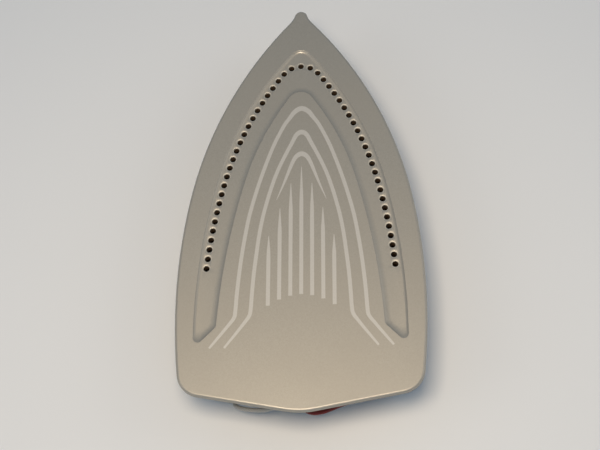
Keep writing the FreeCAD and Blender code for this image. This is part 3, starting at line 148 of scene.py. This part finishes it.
def cast_aluminium():
    """Die-cast aluminium as it leaves the mould: grey, pitted and streaked by the metal's flow."""
    finish, tree, shader = new_finish("die_cast_aluminium", Metallic=0.9)
    place = add(tree, "ShaderNodeTexCoord").outputs["Object"]
    flow = add(
        tree, "ShaderNodeMapping", {"Vector": place, "Scale": (per_mm(9), per_mm(40), per_mm(20))}
    )
    streak = add(
        tree, "ShaderNodeTexNoise", {"Vector": flow.outputs["Vector"], "Scale": 1.0, "Detail": 4.0}
    )
    grit = add(tree, "ShaderNodeTexNoise", {"Vector": place, "Scale": per_mm(0.7), "Detail": 4.0})
    skin = add(
        tree,
        "ShaderNodeMix",
        {"Factor": streak.outputs["Fac"], "A": linear("#8c8a86"), "B": linear("#b9b7b1")},
        data_type="RGBA",
    )
    rough = add(tree, "ShaderNodeMapRange", {"Value": streak.outputs["Fac"], "To Min": 0.42, "To Max": 0.62})
    bump = add(
        tree, "ShaderNodeBump", {"Height": grit.outputs["Fac"], "Strength": 0.35, "Distance": 0.08 * MM}
    )
    feed(tree, shader, skin, rough, bump)
    return finish


def bore_with_painted_shade():
    """Bare metal in the steam holes, dull, with painted shade: dark brown below a coated lip."""
    finish, tree, shader = new_finish("steam_browned_bore", Metallic=0.3)
    place = add(tree, "ShaderNodeTexCoord").outputs["Object"]
    blotch = add(tree, "ShaderNodeTexNoise", {"Vector": place, "Scale": per_mm(1.6), "Detail": 4.0})
    # Painted shade: the dark brown down the holes stands in for the shade inside them
    painted_shade = add(
        tree,
        "ShaderNodeMix",
        {"Factor": blotch.outputs["Fac"], "A": linear("#3a2c1f"), "B": linear("#75604a")},
        data_type="RGBA",
    )
    height = add(tree, "ShaderNodeSeparateXYZ", {"Vector": place})
    sprayed = add(
        tree,
        "ShaderNodeMapRange",
        {"Value": height.outputs["Z"], "From Min": SPRAY_REACH * MM, "From Max": RIM_FOOT * MM},
    )
    lip = add(
        tree,
        "ShaderNodeMix",
        {"Factor": sprayed.outputs["Result"], "A": painted_shade.outputs["Result"], "B": linear("#b1ab9f")},
        data_type="RGBA",
    )
    rough = add(tree, "ShaderNodeMapRange", {"Value": blotch.outputs["Fac"], "To Min": 0.55, "To Max": 0.8})
    bump = add(
        tree, "ShaderNodeBump", {"Height": blotch.outputs["Fac"], "Strength": 0.4, "Distance": 0.06 * MM}
    )
    feed(tree, shader, lip, rough, bump)
    return finish


def lid_sheet():
    """Rolled stainless sheet: long fine lines along the roll, and painted shade in dark brown on the chamber
    side.
    """
    finish, tree, shader = new_finish("rolled_stainless_sheet", Metallic=1.0)
    coords = add(tree, "ShaderNodeTexCoord").outputs
    place = coords["Object"]
    # Roll lines are about 0.02 mm apart; they are drawn 0.5 mm wide so that they show.
    lines = add(
        tree, "ShaderNodeMapping", {"Vector": place, "Scale": (per_mm(0.5), per_mm(40), per_mm(4))}
    )
    roll = add(
        tree, "ShaderNodeTexNoise", {"Vector": lines.outputs["Vector"], "Scale": 1.0, "Detail": 4.0}
    )
    handling = add(tree, "ShaderNodeTexNoise", {"Vector": place, "Scale": per_mm(26), "Detail": 3.0})
    sheet = add(
        tree,
        "ShaderNodeMix",
        {"Factor": roll.outputs["Fac"], "A": linear("#9a9894"), "B": linear("#c6c4bf")},
        data_type="RGBA",
    )
    # Painted shade: the chamber side, seen through the steam holes, is painted dark brown so that the holes
    # look dark
    facing = add(tree, "ShaderNodeSeparateXYZ", {"Vector": coords["Normal"]})
    inside = add(tree, "ShaderNodeMath", {0: facing.outputs["Z"], 1: 0.5}, operation="GREATER_THAN")
    sheet_and_painted_shade = add(
        tree,
        "ShaderNodeMix",
        {"Factor": inside.outputs["Value"], "A": sheet.outputs["Result"], "B": linear("#4a3a2e")},
        data_type="RGBA",
    )
    rough = add(
        tree, "ShaderNodeMapRange", {"Value": handling.outputs["Fac"], "To Min": 0.24, "To Max": 0.46}
    )
    bump = add(
        tree, "ShaderNodeBump", {"Height": roll.outputs["Fac"], "Strength": 0.25, "Distance": 0.02 * MM}
    )
    feed(tree, shader, sheet_and_painted_shade, rough, bump)
    return finish


def braided_sleeve():
    """Glass-fibre sleeving: pale grey strands that cross, with painted grey shadow between them, and both
    greys darkened a little as painted shade for the plate's shadow.
    """
    finish, tree, shader = new_finish("glass_fibre_sleeving", Roughness=0.7)
    strand = add(tree, "ShaderNodeAttribute", attribute_name="strand_height")
    place = add(tree, "ShaderNodeTexCoord").outputs["Object"]
    fibre = add(tree, "ShaderNodeTexNoise", {"Vector": place, "Scale": per_mm(0.15), "Detail": 2.0})
    # Painted shade: low places between the strands are painted dark grey as the shadow there
    yarn_and_painted_shadow = add(
        tree,
        "ShaderNodeMix",
        {"Factor": strand.outputs["Fac"], "A": linear("#686660"), "B": linear("#c6c3bb")},
        data_type="RGBA",
    )
    bump = add(
        tree, "ShaderNodeBump", {"Height": fibre.outputs["Fac"], "Strength": 0.4, "Distance": 0.04 * MM}
    )
    feed(tree, shader, yarn_and_painted_shadow, bump=bump)
    return finish


def print_ink():
    """Heat-proof ink screen-printed on the coat: paler, flatter and faintly mottled by the mesh."""
    finish, tree, shader = new_finish("screen_printed_ink", Metallic=0.35, Roughness=0.5)
    place = add(tree, "ShaderNodeTexCoord").outputs["Object"]
    mesh_marks = add(tree, "ShaderNodeTexNoise", {"Vector": place, "Scale": per_mm(0.8), "Detail": 3.0})
    ink = add(
        tree,
        "ShaderNodeMix",
        {"Factor": mesh_marks.outputs["Fac"], "A": linear("#bcb9b2"), "B": linear("#c6c5bf")},
        data_type="RGBA",
    )
    feed(tree, shader, ink)
    return finish


def mottled(name, dark, pale, cell, low, high, bump_depth, stretch=(1, 1, 1), **surface):
    """A finish that varies between two colours and two roughnesses in cells of a size, with a bump."""
    finish, tree, shader = new_finish(name, **surface)
    place = add(tree, "ShaderNodeTexCoord").outputs["Object"]
    scale = [per_mm(cell * share) for share in stretch]
    turned = add(tree, "ShaderNodeMapping", {"Vector": place, "Scale": scale})
    cells = add(
        tree, "ShaderNodeTexNoise", {"Vector": turned.outputs["Vector"], "Scale": 1.0, "Detail": 5.0}
    )
    colour = add(
        tree,
        "ShaderNodeMix",
        {"Factor": cells.outputs["Fac"], "A": linear(dark), "B": linear(pale)},
        data_type="RGBA",
    )
    rough = add(tree, "ShaderNodeMapRange", {"Value": cells.outputs["Fac"], "To Min": low, "To Max": high})
    bump = add(
        tree,
        "ShaderNodeBump",
        {"Height": cells.outputs["Fac"], "Strength": 0.3, "Distance": bump_depth * MM},
    )
    feed(tree, shader, colour, rough, bump)
    return finish


COAT = sole_coat()
CASTING = cast_aluminium()
# Coat on the dishes round the steam holes: it runs thin there and is duller than on the face, and its paler
# colour is a painted highlight on the dishes
DISH_COAT = mottled("thin_coat_and_painted_highlight", "#b6b2a7", "#c2beb3", 0.5, 0.51, 0.61, 0.01, Metallic=0.6)
INK = print_ink()
BORE = bore_with_painted_shade()
BRAID = braided_sleeve()

# Finishes of the pieces behind the plate, by the record's material slots
FINISHES = {
    # Drawn heater tube, dulled and straw-tinted by heat
    "heater_sheath": mottled("heat_dulled_tube", "#6f6a61", "#a39a88", 6, 0.35, 0.55, 0.02, Metallic=1.0),
    # Steatite, pressed and fired but not glazed: chalky off-white
    "white_ceramic": mottled("fired_steatite", "#d9d2c2", "#efeae0", 1.2, 0.55, 0.75, 0.03),
    # Zinc-plated mild steel: bluish grey with a soft gleam
    "plated_steel": mottled("zinc_plated_steel", "#8f9190", "#c3c5c4", 2.5, 0.25, 0.42, 0.01, Metallic=1.0),
    # Rolled stainless sheet, with painted shade on the chamber side
    "lid_sheet": lid_sheet(),
    # Red-brown silicone rubber, darkened a little as painted shade for the plate's shadow: matt with a dusty
    # bloom
    "red_silicone": mottled("red_silicone_rubber", "#651510", "#84231b", 1.5, 0.5, 0.68, 0.02),
    # Glass-fibre sleeving: pale grey and fuzzy, with painted shade between the strands and over the whole
    "grey_silicone": BRAID,
    # Stamped brass strip: warm yellow, browned in patches
    "brass": mottled("stamped_brass", "#8a6a32", "#cda95c", 3.0, 0.26, 0.42, 0.01, Metallic=1.0),
    # Rolled bimetal: dull straw-grey, lined along the strip
    "bimetal": mottled(
        "rolled_bimetal", "#7d7768", "#a59d8b", 0.8, 0.3, 0.45, 0.01, stretch=(0.6, 20, 3), Metallic=1.0
    ),
    # Contact silver: bright, slightly yellowed
    "silver": mottled("contact_silver", "#bcb7aa", "#e2dfd6", 2.0, 0.18, 0.32, 0.01, Metallic=1.0),
}


# Piece helpers
def new_object(name, data):
    """An object at the origin, linked to the scene."""
    made = bpy.data.objects.new(name, data)
    bpy.context.scene.collection.objects.link(made)
    return made


def settle(piece):
    """Turns a piece and its modifiers into a plain mesh piece of the same name, and returns that."""
    bpy.context.view_layer.update()
    graph = bpy.context.evaluated_depsgraph_get()
    plain = bpy.data.meshes.new_from_object(piece.evaluated_get(graph), depsgraph=graph)
    name = piece.name
    bpy.data.batch_remove([piece, piece.data])
    plain.name = name
    return new_object(name, plain)


def new_tree(name, sizes, finish):
    """A geometry nodes tree with named inputs for its sizes and its finish; returns it and its inputs."""
    tree = bpy.data.node_groups.new(name, "GeometryNodeTree")
    tree.interface.new_socket("Geometry", in_out="INPUT", socket_type="NodeSocketGeometry")
    for size in sizes:
        tree.interface.new_socket(size, in_out="INPUT", socket_type="NodeSocketFloat")
    tree.interface.new_socket(finish, in_out="INPUT", socket_type="NodeSocketMaterial")
    tree.interface.new_socket("Geometry", in_out="OUTPUT", socket_type="NodeSocketGeometry")
    return tree, add(tree, "NodeGroupInput").outputs


def end_tree(tree, geometry, finish):
    """Ends a tree with real geometry in its finish."""
    whole = add(tree, "GeometryNodeRealizeInstances", {"Geometry": geometry})
    dressed = add(
        tree, "GeometryNodeSetMaterial", {"Geometry": whole.outputs["Geometry"], "Material": finish}
    )
    add(tree, "NodeGroupOutput", {"Geometry": dressed.outputs["Geometry"]})


def grow(piece, tree, values):
    """Runs a tree on a piece with the tree's named inputs set, and returns the plain piece."""
    layer = piece.modifiers.new(tree.name, "NODES")
    layer.node_group = tree
    for item in tree.interface.items_tree:
        if item.in_out == "INPUT" and item.name in values:
            layer[item.identifier] = values[item.name]
    return settle(piece)


def shade_smooth(mesh):
    """Smooth shading over a whole mesh."""
    for face in mesh.polygons:
        face.use_smooth = True


# CAD pieces that keep their shape
def dress_cad_nodes():
    """Gives every CAD node the finish of its material slot."""
    for subpart in frame["record"]["subparts"]:
        finish = FINISHES.get(subpart["material_slot"])
        if finish:
            for slot in frame["nodes"][subpart["node"]].material_slots:
                slot.material = finish


# The casting: corners this near are one, edges that turn less than this are smooth, and its even shading
# gives large faces this weight
WELD = 0.002
SMOOTH_TURN = math.radians(32)
LARGE_FACE_WEIGHT = 80
# Faces no higher than this over the plate's back are bare, and a wall's normal rises less than this
BACK_MARGIN = 0.02
WALL_RISE = 0.2


def casting_finish(face):
    """The finish of a face of the casting, from its height and its lean."""
    height = face.calc_center_median().z / MM
    lean = face.normal.z
    if height < PLATE_BACK + BACK_MARGIN:
        return CASTING
    if abs(lean) < WALL_RISE and height < RIM_FOOT:
        return BORE
    if height < DISH_TOP and DISH_LEAN[0] < lean < DISH_LEAN[1]:
        return DISH_COAT
    return COAT


def finished_casting():
    """The casting with welded triangles and even shading: coated above the plate's back, bare below."""
    mesh = frame["nodes"]["sole_casting"].data.copy()
    mesh.materials.clear()
    finishes = [COAT, CASTING, BORE, DISH_COAT]
    for finish in finishes:
        mesh.materials.append(finish)
    work = bmesh.new()
    work.from_mesh(mesh)
    bmesh.ops.remove_doubles(work, verts=work.verts, dist=WELD * MM)
    for edge in work.edges:
        edge.smooth = len(edge.link_faces) == 2 and edge.calc_face_angle(0) < SMOOTH_TURN
    for face in work.faces:
        face.smooth = True
        face.material_index = finishes.index(casting_finish(face))
    work.to_mesh(mesh)
    work.free()
    piece = new_object("coated_casting", mesh)
    even = piece.modifiers.new("even_shading", "WEIGHTED_NORMAL")
    even.keep_sharp = True
    even.weight = LARGE_FACE_WEIGHT
    piece = settle(piece)
    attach(piece, "base")
    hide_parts("sole_casting")


# Printed lines on the face: each point is right-hand x, y and the line's width there
OUTER_ARCH = [
    (0.0, 49.7, 2.8), (3.3, 48.0, 2.5), (6.0, 44.3, 2.1), (8.95, 39.8, 1.9), (13.5, 30.0, 1.85),
    (17.15, 20.0, 1.85), (20.35, 10.0, 1.85), (23.15, 0.0, 1.85), (25.55, -10.0, 1.85),
    (27.25, -20.0, 1.85), (28.65, -30.0, 1.85), (29.75, -40.0, 1.85), (30.6, -50.0, 1.85),
    (31.15, -59.0, 1.85), (31.8, -62.4, 1.8), (35.0, -66.8, 1.55), (40.0, -73.2, 1.3), (43.0, -77.0, 1.05),
]
INNER_ARCH = [
    (0.0, 36.1, 2.7), (2.6, 34.5, 2.3), (4.6, 30.4, 2.0), (7.25, 25.0, 1.9), (9.55, 20.0, 1.85),
    (11.65, 15.0, 1.85), (13.45, 10.0, 1.85), (14.95, 5.0, 1.85), (16.35, 0.0, 1.85),
    (18.75, -10.0, 1.85), (20.45, -20.0, 1.85), (21.65, -30.0, 1.85), (22.7, -40.0, 1.85),
    (23.4, -50.0, 1.85), (23.85, -58.0, 1.85), (24.5, -61.4, 1.8), (26.7, -64.7, 1.65), (30.0, -69.2, 1.4),
    (36.0, -77.0, 1.05),
]
SMALL_ARCH = [
    (0.0, 23.8, 2.7), (2.5, 22.5, 2.3), (4.2, 19.6, 1.9), (6.0, 15.0, 1.65), (7.8, 10.0, 1.3),
    (9.7, 5.0, 0.85), (11.7, 0.0, 0.35), (12.3, -1.5, 0.1),
]
# Straight lines along the sole: distance from the middle, nose end, length of its point, square heel end
STRAIGHT_LINES = [
    (0.0, 16.5, 20, -51.0), (5.2, 7.5, 16, -51.7), (10.5, -6.0, 13, -53.5), (15.8, -20.5, 11, -56.5),
]
# Width of a straight line, half-way along its point and at its tip
LINE_WIDTH = 1.88
POINT_WIDTH = 0.65 * LINE_WIDTH
TIP_WIDTH = 0.25
# The print sits a little to the right of the casting's middle
PRINT_SHIFT = 0.5
# The ink film's height above the face, how far it reaches into the coat, and its steps along a line
INK_PROUD = 0.03
INK_SUNK = 0.02
RIBBON_STEP = 0.8


def ribbon_tree():
    """Geometry nodes that lay a flat printed ribbon along every spline, as wide as the spline's radius."""
    tree, given = new_tree("printed_ribbon", ["Step length"], "Ink")
    smooth = add(
        tree, "GeometryNodeCurveSplineType", {"Curve": given["Geometry"]}, spline_type="CATMULL_ROM"
    )
    steps = add(
        tree,
        "GeometryNodeResampleCurve",
        {"Curve": smooth.outputs["Curve"], "Length": given["Step length"]},
        mode="LENGTH",
    )
    flat = add(tree, "GeometryNodeSetCurveNormal", {"Curve": steps.outputs["Curve"]}, mode="Z_UP")
    across = add(tree, "GeometryNodeCurvePrimitiveLine", {"Start": (-0.5, 0, 0), "End": (0.5, 0, 0)})
    width = add(tree, "GeometryNodeInputRadius")
    ribbon = add(
        tree,
        "GeometryNodeCurveToMesh",
        {
            "Curve": flat.outputs["Curve"],
            "Profile Curve": across.outputs["Curve"],
            "Scale": width.outputs["Radius"],
        },
    )
    end_tree(tree, ribbon.outputs["Mesh"], given["Ink"])
    return tree


def line_paths():
    """Every printed line as a run of points, from its left or nose end."""
    paths = []
    for half in (OUTER_ARCH, INNER_ARCH, SMALL_ARCH):
        left = [(-x, y, width) for x, y, width in half[:0:-1]]
        paths.append(left + half)
    for offset, nose, point, heel in STRAIGHT_LINES:
        shoulder = nose - point
        stations = [
            (nose, TIP_WIDTH),
            (nose - point / 2, POINT_WIDTH),
            (shoulder, LINE_WIDTH),
            ((shoulder + heel) / 2, LINE_WIDTH),
            (heel, LINE_WIDTH),
        ]
        for side in (1, -1) if offset else (1,):
            paths.append([(side * offset, y, width) for y, width in stations])
    return paths


def face_up(mesh):
    """Turns every face of a flat mesh upwards, and shades it flat."""
    work = bmesh.new()
    work.from_mesh(mesh)
    bmesh.ops.reverse_faces(work, faces=[face for face in work.faces if face.normal.z < 0])
    for face in work.faces:
        face.smooth = False
    work.to_mesh(mesh)
    work.free()


def printed_lines():
    """The pale line pattern, as a thin closed film of ink on the face."""
    top = (FACE_HEIGHT + INK_PROUD) * MM
    curve = bpy.data.curves.new("printed_lines", "CURVE")
    curve.dimensions = "3D"
    for path in line_paths():
        spline = curve.splines.new("POLY")
        spline.points.add(len(path) - 1)
        for point, (x, y, width) in zip(spline.points, path):
            point.co = ((x + PRINT_SHIFT) * MM, y * MM, top, 1)
            point.radius = width * MM
    ribbons = new_object("printed_lines", curve)
    piece = grow(ribbons, ribbon_tree(), {"Step length": RIBBON_STEP * MM, "Ink": INK})
    face_up(piece.data)
    film = piece.modifiers.new("film", "SOLIDIFY")
    film.thickness = (INK_PROUD + INK_SUNK) * MM
    film.offset = -1
    piece = settle(piece)
    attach(piece, "base")


# Control points of the two leads' smooth lines: grey from the left heater pin to the fuse, red from the
# heat control to the right heater pin. The loops behind the heel follow the photograph.
GREY_ROUTE = [
    (-30.0, -84.0, 5.75), (-30.0, -89.2, 5.75), (-31.2, -92.6, 6.4), (-32.8, -95.2, 8.6),
    (-33.2, -97.4, 11.4), (-30.6, -99.6, 13.9), (-25.6, -101.2, 16.2), (-19.0, -102.4, 18.8),
    (-12.6, -102.1, 22.4), (-11.0, -98.0, 26.4), (-11.8, -94.2, 28.2), (-12.0, -91.2, 28.8),
    (-12.0, -89.0, 28.8),
]
RED_ROUTE = [
    (0.0, -93.3, 18.8), (0.0, -97.2, 18.8), (-0.2, -100.6, 18.8), (1.8, -103.1, 18.8), (5.2, -104.1, 18.8),
    (9.6, -103.4, 18.2), (14.0, -101.3, 16.9), (18.8, -98.7, 14.5), (23.4, -96.4, 11.2), (27.8, -94.0, 7.6),
    (30.0, -89.2, 5.75), (30.0, -84.0, 5.75),
]
LEAD_RADIUS = 1.08
LEAD_SIDES = 32
# Strands of the braid each way, the length in which one goes once round, and the depth between them
STRANDS = 8
BRAID_PITCH = 7.0
BRAID_DEPTH = 0.12
# Spacing of the rings of points along a braided and a plain sleeve
BRAID_STEP = 0.16
PLAIN_STEP = 0.5


def lead_tree():
    """Geometry nodes that put a sleeve round every spline, raised into crossing strands by a depth."""
    sizes = ["Lead radius", "Ring spacing", "Strands", "Braid pitch", "Braid depth"]
    tree, given = new_tree("sleeved_lead", sizes, "Sleeve")
    rings = add(
        tree,
        "GeometryNodeResampleCurve",
        {"Curve": given["Geometry"], "Length": given["Ring spacing"]},
        mode="LENGTH",
    )
    place = add(tree, "GeometryNodeSplineParameter").outputs
    marked = add(
        tree,
        "GeometryNodeStoreNamedAttribute",
        {"Geometry": rings.outputs["Curve"], "Name": "along", "Value": place["Length"]},
    )
    circle = add(
        tree, "GeometryNodeCurvePrimitiveCircle", {"Resolution": LEAD_SIDES, "Radius": given["Lead radius"]}
    )
    turned = add(
        tree,
        "GeometryNodeStoreNamedAttribute",
        {"Geometry": circle.outputs["Curve"], "Name": "around", "Value": place["Factor"]},
    )
    tube = add(
        tree,
        "GeometryNodeCurveToMesh",
        {
            "Curve": marked.outputs["Geometry"],
            "Profile Curve": turned.outputs["Geometry"],
            "Fill Caps": True,
        },
    )
    along = add(tree, "GeometryNodeInputNamedAttribute", {"Name": "along"}).outputs["Attribute"]
    around = add(tree, "GeometryNodeInputNamedAttribute", {"Name": "around"}).outputs["Attribute"]
    turns = add(tree, "ShaderNodeMath", {0: along, 1: given["Braid pitch"]}, operation="DIVIDE")
    waves = []
    for hand in ("ADD", "SUBTRACT"):
        spiral = add(tree, "ShaderNodeMath", {0: around, 1: turns.outputs["Value"]}, operation=hand)
        strands = add(
            tree, "ShaderNodeMath", {0: spiral.outputs["Value"], 1: given["Strands"]}, operation="MULTIPLY"
        )
        angle = add(
            tree, "ShaderNodeMath", {0: strands.outputs["Value"], 1: 2 * math.pi}, operation="MULTIPLY"
        )
        wave = add(tree, "ShaderNodeMath", {0: angle.outputs["Value"]}, operation="SINE")
        waves.append(wave.outputs["Value"])
    top = add(tree, "ShaderNodeMath", {0: waves[0], 1: waves[1]}, operation="MAXIMUM")
    height = add(
        tree, "ShaderNodeMapRange", {"Value": top.outputs["Value"], "From Min": -1.0, "From Max": 1.0}
    )
    # The height is stored as strand_height, which the braid's finish reads for its painted shadow between
    # the strands
    noted = add(
        tree,
        "GeometryNodeStoreNamedAttribute",
        {"Geometry": tube.outputs["Mesh"], "Name": "strand_height", "Value": height.outputs["Result"]},
    )
    lowered = add(tree, "ShaderNodeMath", {0: height.outputs["Result"], 1: 1.0}, operation="SUBTRACT")
    sunk = add(
        tree, "ShaderNodeMath", {0: lowered.outputs["Value"], 1: given["Braid depth"]}, operation="MULTIPLY"
    )
    outward = add(tree, "GeometryNodeInputNormal").outputs["Normal"]
    move = add(
        tree, "ShaderNodeVectorMath", {0: outward, "Scale": sunk.outputs["Value"]}, operation="SCALE"
    )
    shaped = add(
        tree,
        "GeometryNodeSetPosition",
        {"Geometry": noted.outputs["Geometry"], "Offset": move.outputs["Vector"]},
    )
    end_tree(tree, shaped.outputs["Geometry"], given["Sleeve"])
    return tree


def sleeved_lead(node, route, spacing, braid_depth, sleeve):
    """One lead with its sleeve, in place of the plain rod of the CAD."""
    curve = bpy.data.curves.new(node + "_sleeve", "CURVE")
    curve.dimensions = "3D"
    spline = curve.splines.new("NURBS")
    spline.points.add(len(route) - 1)
    for point, place in zip(spline.points, route):
        point.co = (*(Vector(place) * MM), 1)
    spline.order_u = 3
    spline.use_endpoint_u = True
    values = {
        "Lead radius": LEAD_RADIUS * MM,
        "Ring spacing": spacing * MM,
        "Strands": float(STRANDS),
        "Braid pitch": BRAID_PITCH * MM,
        "Braid depth": braid_depth * MM,
        "Sleeve": sleeve,
    }
    piece = grow(new_object(node + "_sleeve", curve), lead_tree(), values)
    shade_smooth(piece.data)
    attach(piece, "base")
    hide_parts(node)


# Rings that the ejector pins of the die leave on the back of the plate, as plan places
EJECTOR_PLACES = [(47, -59), (-47, -59), (50.5, -73), (-50.5, -73), (21, -98), (-21, -98)]
PIN_RADIUS = 3.0
PIN_SIDES = 40
BURR_RADIUS = 0.14
BURR_SIDES = 8


def ejector_tree():
    """Geometry nodes that set a thin raised ring on every point."""
    tree, given = new_tree("ejector_rings", ["Pin radius", "Burr radius"], "Metal")
    pin = add(
        tree, "GeometryNodeCurvePrimitiveCircle", {"Resolution": PIN_SIDES, "Radius": given["Pin radius"]}
    )
    burr = add(
        tree, "GeometryNodeCurvePrimitiveCircle", {"Resolution": BURR_SIDES, "Radius": given["Burr radius"]}
    )
    ring = add(
        tree,
        "GeometryNodeCurveToMesh",
        {"Curve": pin.outputs["Curve"], "Profile Curve": burr.outputs["Curve"]},
    )
    rings = add(
        tree,
        "GeometryNodeInstanceOnPoints",
        {"Points": given["Geometry"], "Instance": ring.outputs["Mesh"]},
    )
    end_tree(tree, rings.outputs["Instances"], given["Metal"])
    return tree


def ejector_rings():
    """The ejector pins' rings, half sunk in the back of the plate."""
    mesh = bpy.data.meshes.new("ejector_rings")
    mesh.from_pydata([(x * MM, y * MM, PLATE_BACK * MM) for x, y in EJECTOR_PLACES], [], [])
    values = {"Pin radius": PIN_RADIUS * MM, "Burr radius": BURR_RADIUS * MM, "Metal": CASTING}
    piece = grow(new_object("ejector_rings", mesh), ejector_tree(), values)
    shade_smooth(piece.data)
    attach(piece, "base")


# Floor, light and camera, with stage lengths in metres
FLOOR_REACH = 3.0


def set_floor():
    """A plain pale floor under the posts."""
    finish, _, _ = new_finish("pale_floor", Base_Color=linear("#dfe3e6"), Roughness=0.8)
    corners = [(x * FLOOR_REACH, y * FLOOR_REACH, 0) for x, y in ((-1, -1), (1, -1), (1, 1), (-1, 1))]
    mesh = bpy.data.meshes.new("floor")
    mesh.from_pydata(corners, [], [(0, 1, 2, 3)])
    mesh.materials.append(finish)
    floor = new_object("floor", mesh)


def add_softbox(name, place, aim, size, power, tint):
    """A soft rectangular lamp that points at a place."""
    lamp = bpy.data.lights.new(name, "AREA")
    lamp.shape = "RECTANGLE"
    lamp.size, lamp.size_y = size
    lamp.energy = power
    lamp.color = linear(tint)[:3]
    holder = new_object(name, lamp)
    holder.location = place
    holder.rotation_euler = (Vector(aim) - Vector(place)).to_track_quat("-Z", "Y").to_euler()


def set_light():
    """A softbox above the camera, so that the heel is brightest, and weak ones from both sides."""
    world = bpy.data.worlds.new("studio")
    world.use_nodes = True
    sky = world.node_tree.nodes["Background"]
    sky.inputs["Color"].default_value = linear("#c0dbf6")
    sky.inputs["Strength"].default_value = 0.355
    bpy.context.scene.world = world
    middle = (0.0, 0.0, 0.0)
    heel_side = (0.0, -0.02, 0.0)
    add_softbox("camera_softbox", (-0.03, -0.18, 0.68), heel_side, (0.24, 0.2), 3.2, "#ffe9cd")
    add_softbox("right_softbox", (0.85, 0.15, 0.58), middle, (0.7, 0.6), 1.2, "#fff3e4")
    add_softbox("left_softbox", (-0.8, -0.25, 0.62), middle, (0.45, 0.45), 0.8, "#fff3e4")


# Camera found from the photograph: where it looks on the face, from how far and from which direction
LOOKS_AT = (-0.155, -15.179, FACE_HEIGHT)
DISTANCE = 581.916
ELEVATION = math.radians(65.274)
AZIMUTH = math.radians(9.523)
ROLL = math.radians(-10.306)
FOCAL_LENGTH = 72
SENSOR_WIDTH = 36


def set_camera():
    """A camera at the photograph's viewing angle."""
    level = math.cos(ELEVATION)
    back = Vector((math.sin(AZIMUTH) * level, -math.cos(AZIMUTH) * level, math.sin(ELEVATION)))
    right = (-back).cross(Vector((0, 0, 1))).normalized()
    up = right.cross(-back)
    turned_right = right * math.cos(ROLL) + up * math.sin(ROLL)
    turned_up = up * math.cos(ROLL) - right * math.sin(ROLL)
    lens = bpy.data.cameras.new("photo_camera")
    lens.lens = FOCAL_LENGTH
    lens.sensor_width = SENSOR_WIDTH
    lens.clip_start = 0.01
    camera = new_object("photo_camera", lens)
    place = (Vector(LOOKS_AT) + back * DISTANCE) * MM
    turn = Matrix((turned_right, turned_up, back)).transposed().to_4x4()
    camera.matrix_world = Matrix.Translation(place) @ turn
    bpy.context.scene.camera = camera


dress_cad_nodes()
finished_casting()
printed_lines()
sleeved_lead("grey_lead", GREY_ROUTE, BRAID_STEP, BRAID_DEPTH, BRAID)
sleeved_lead("red_lead", RED_ROUTE, PLAIN_STEP, 0.0, FINISHES["red_silicone"])
ejector_rings()
set_floor()
set_light()
set_camera()
bpy.context.scene.view_settings.view_transform = "Standard"
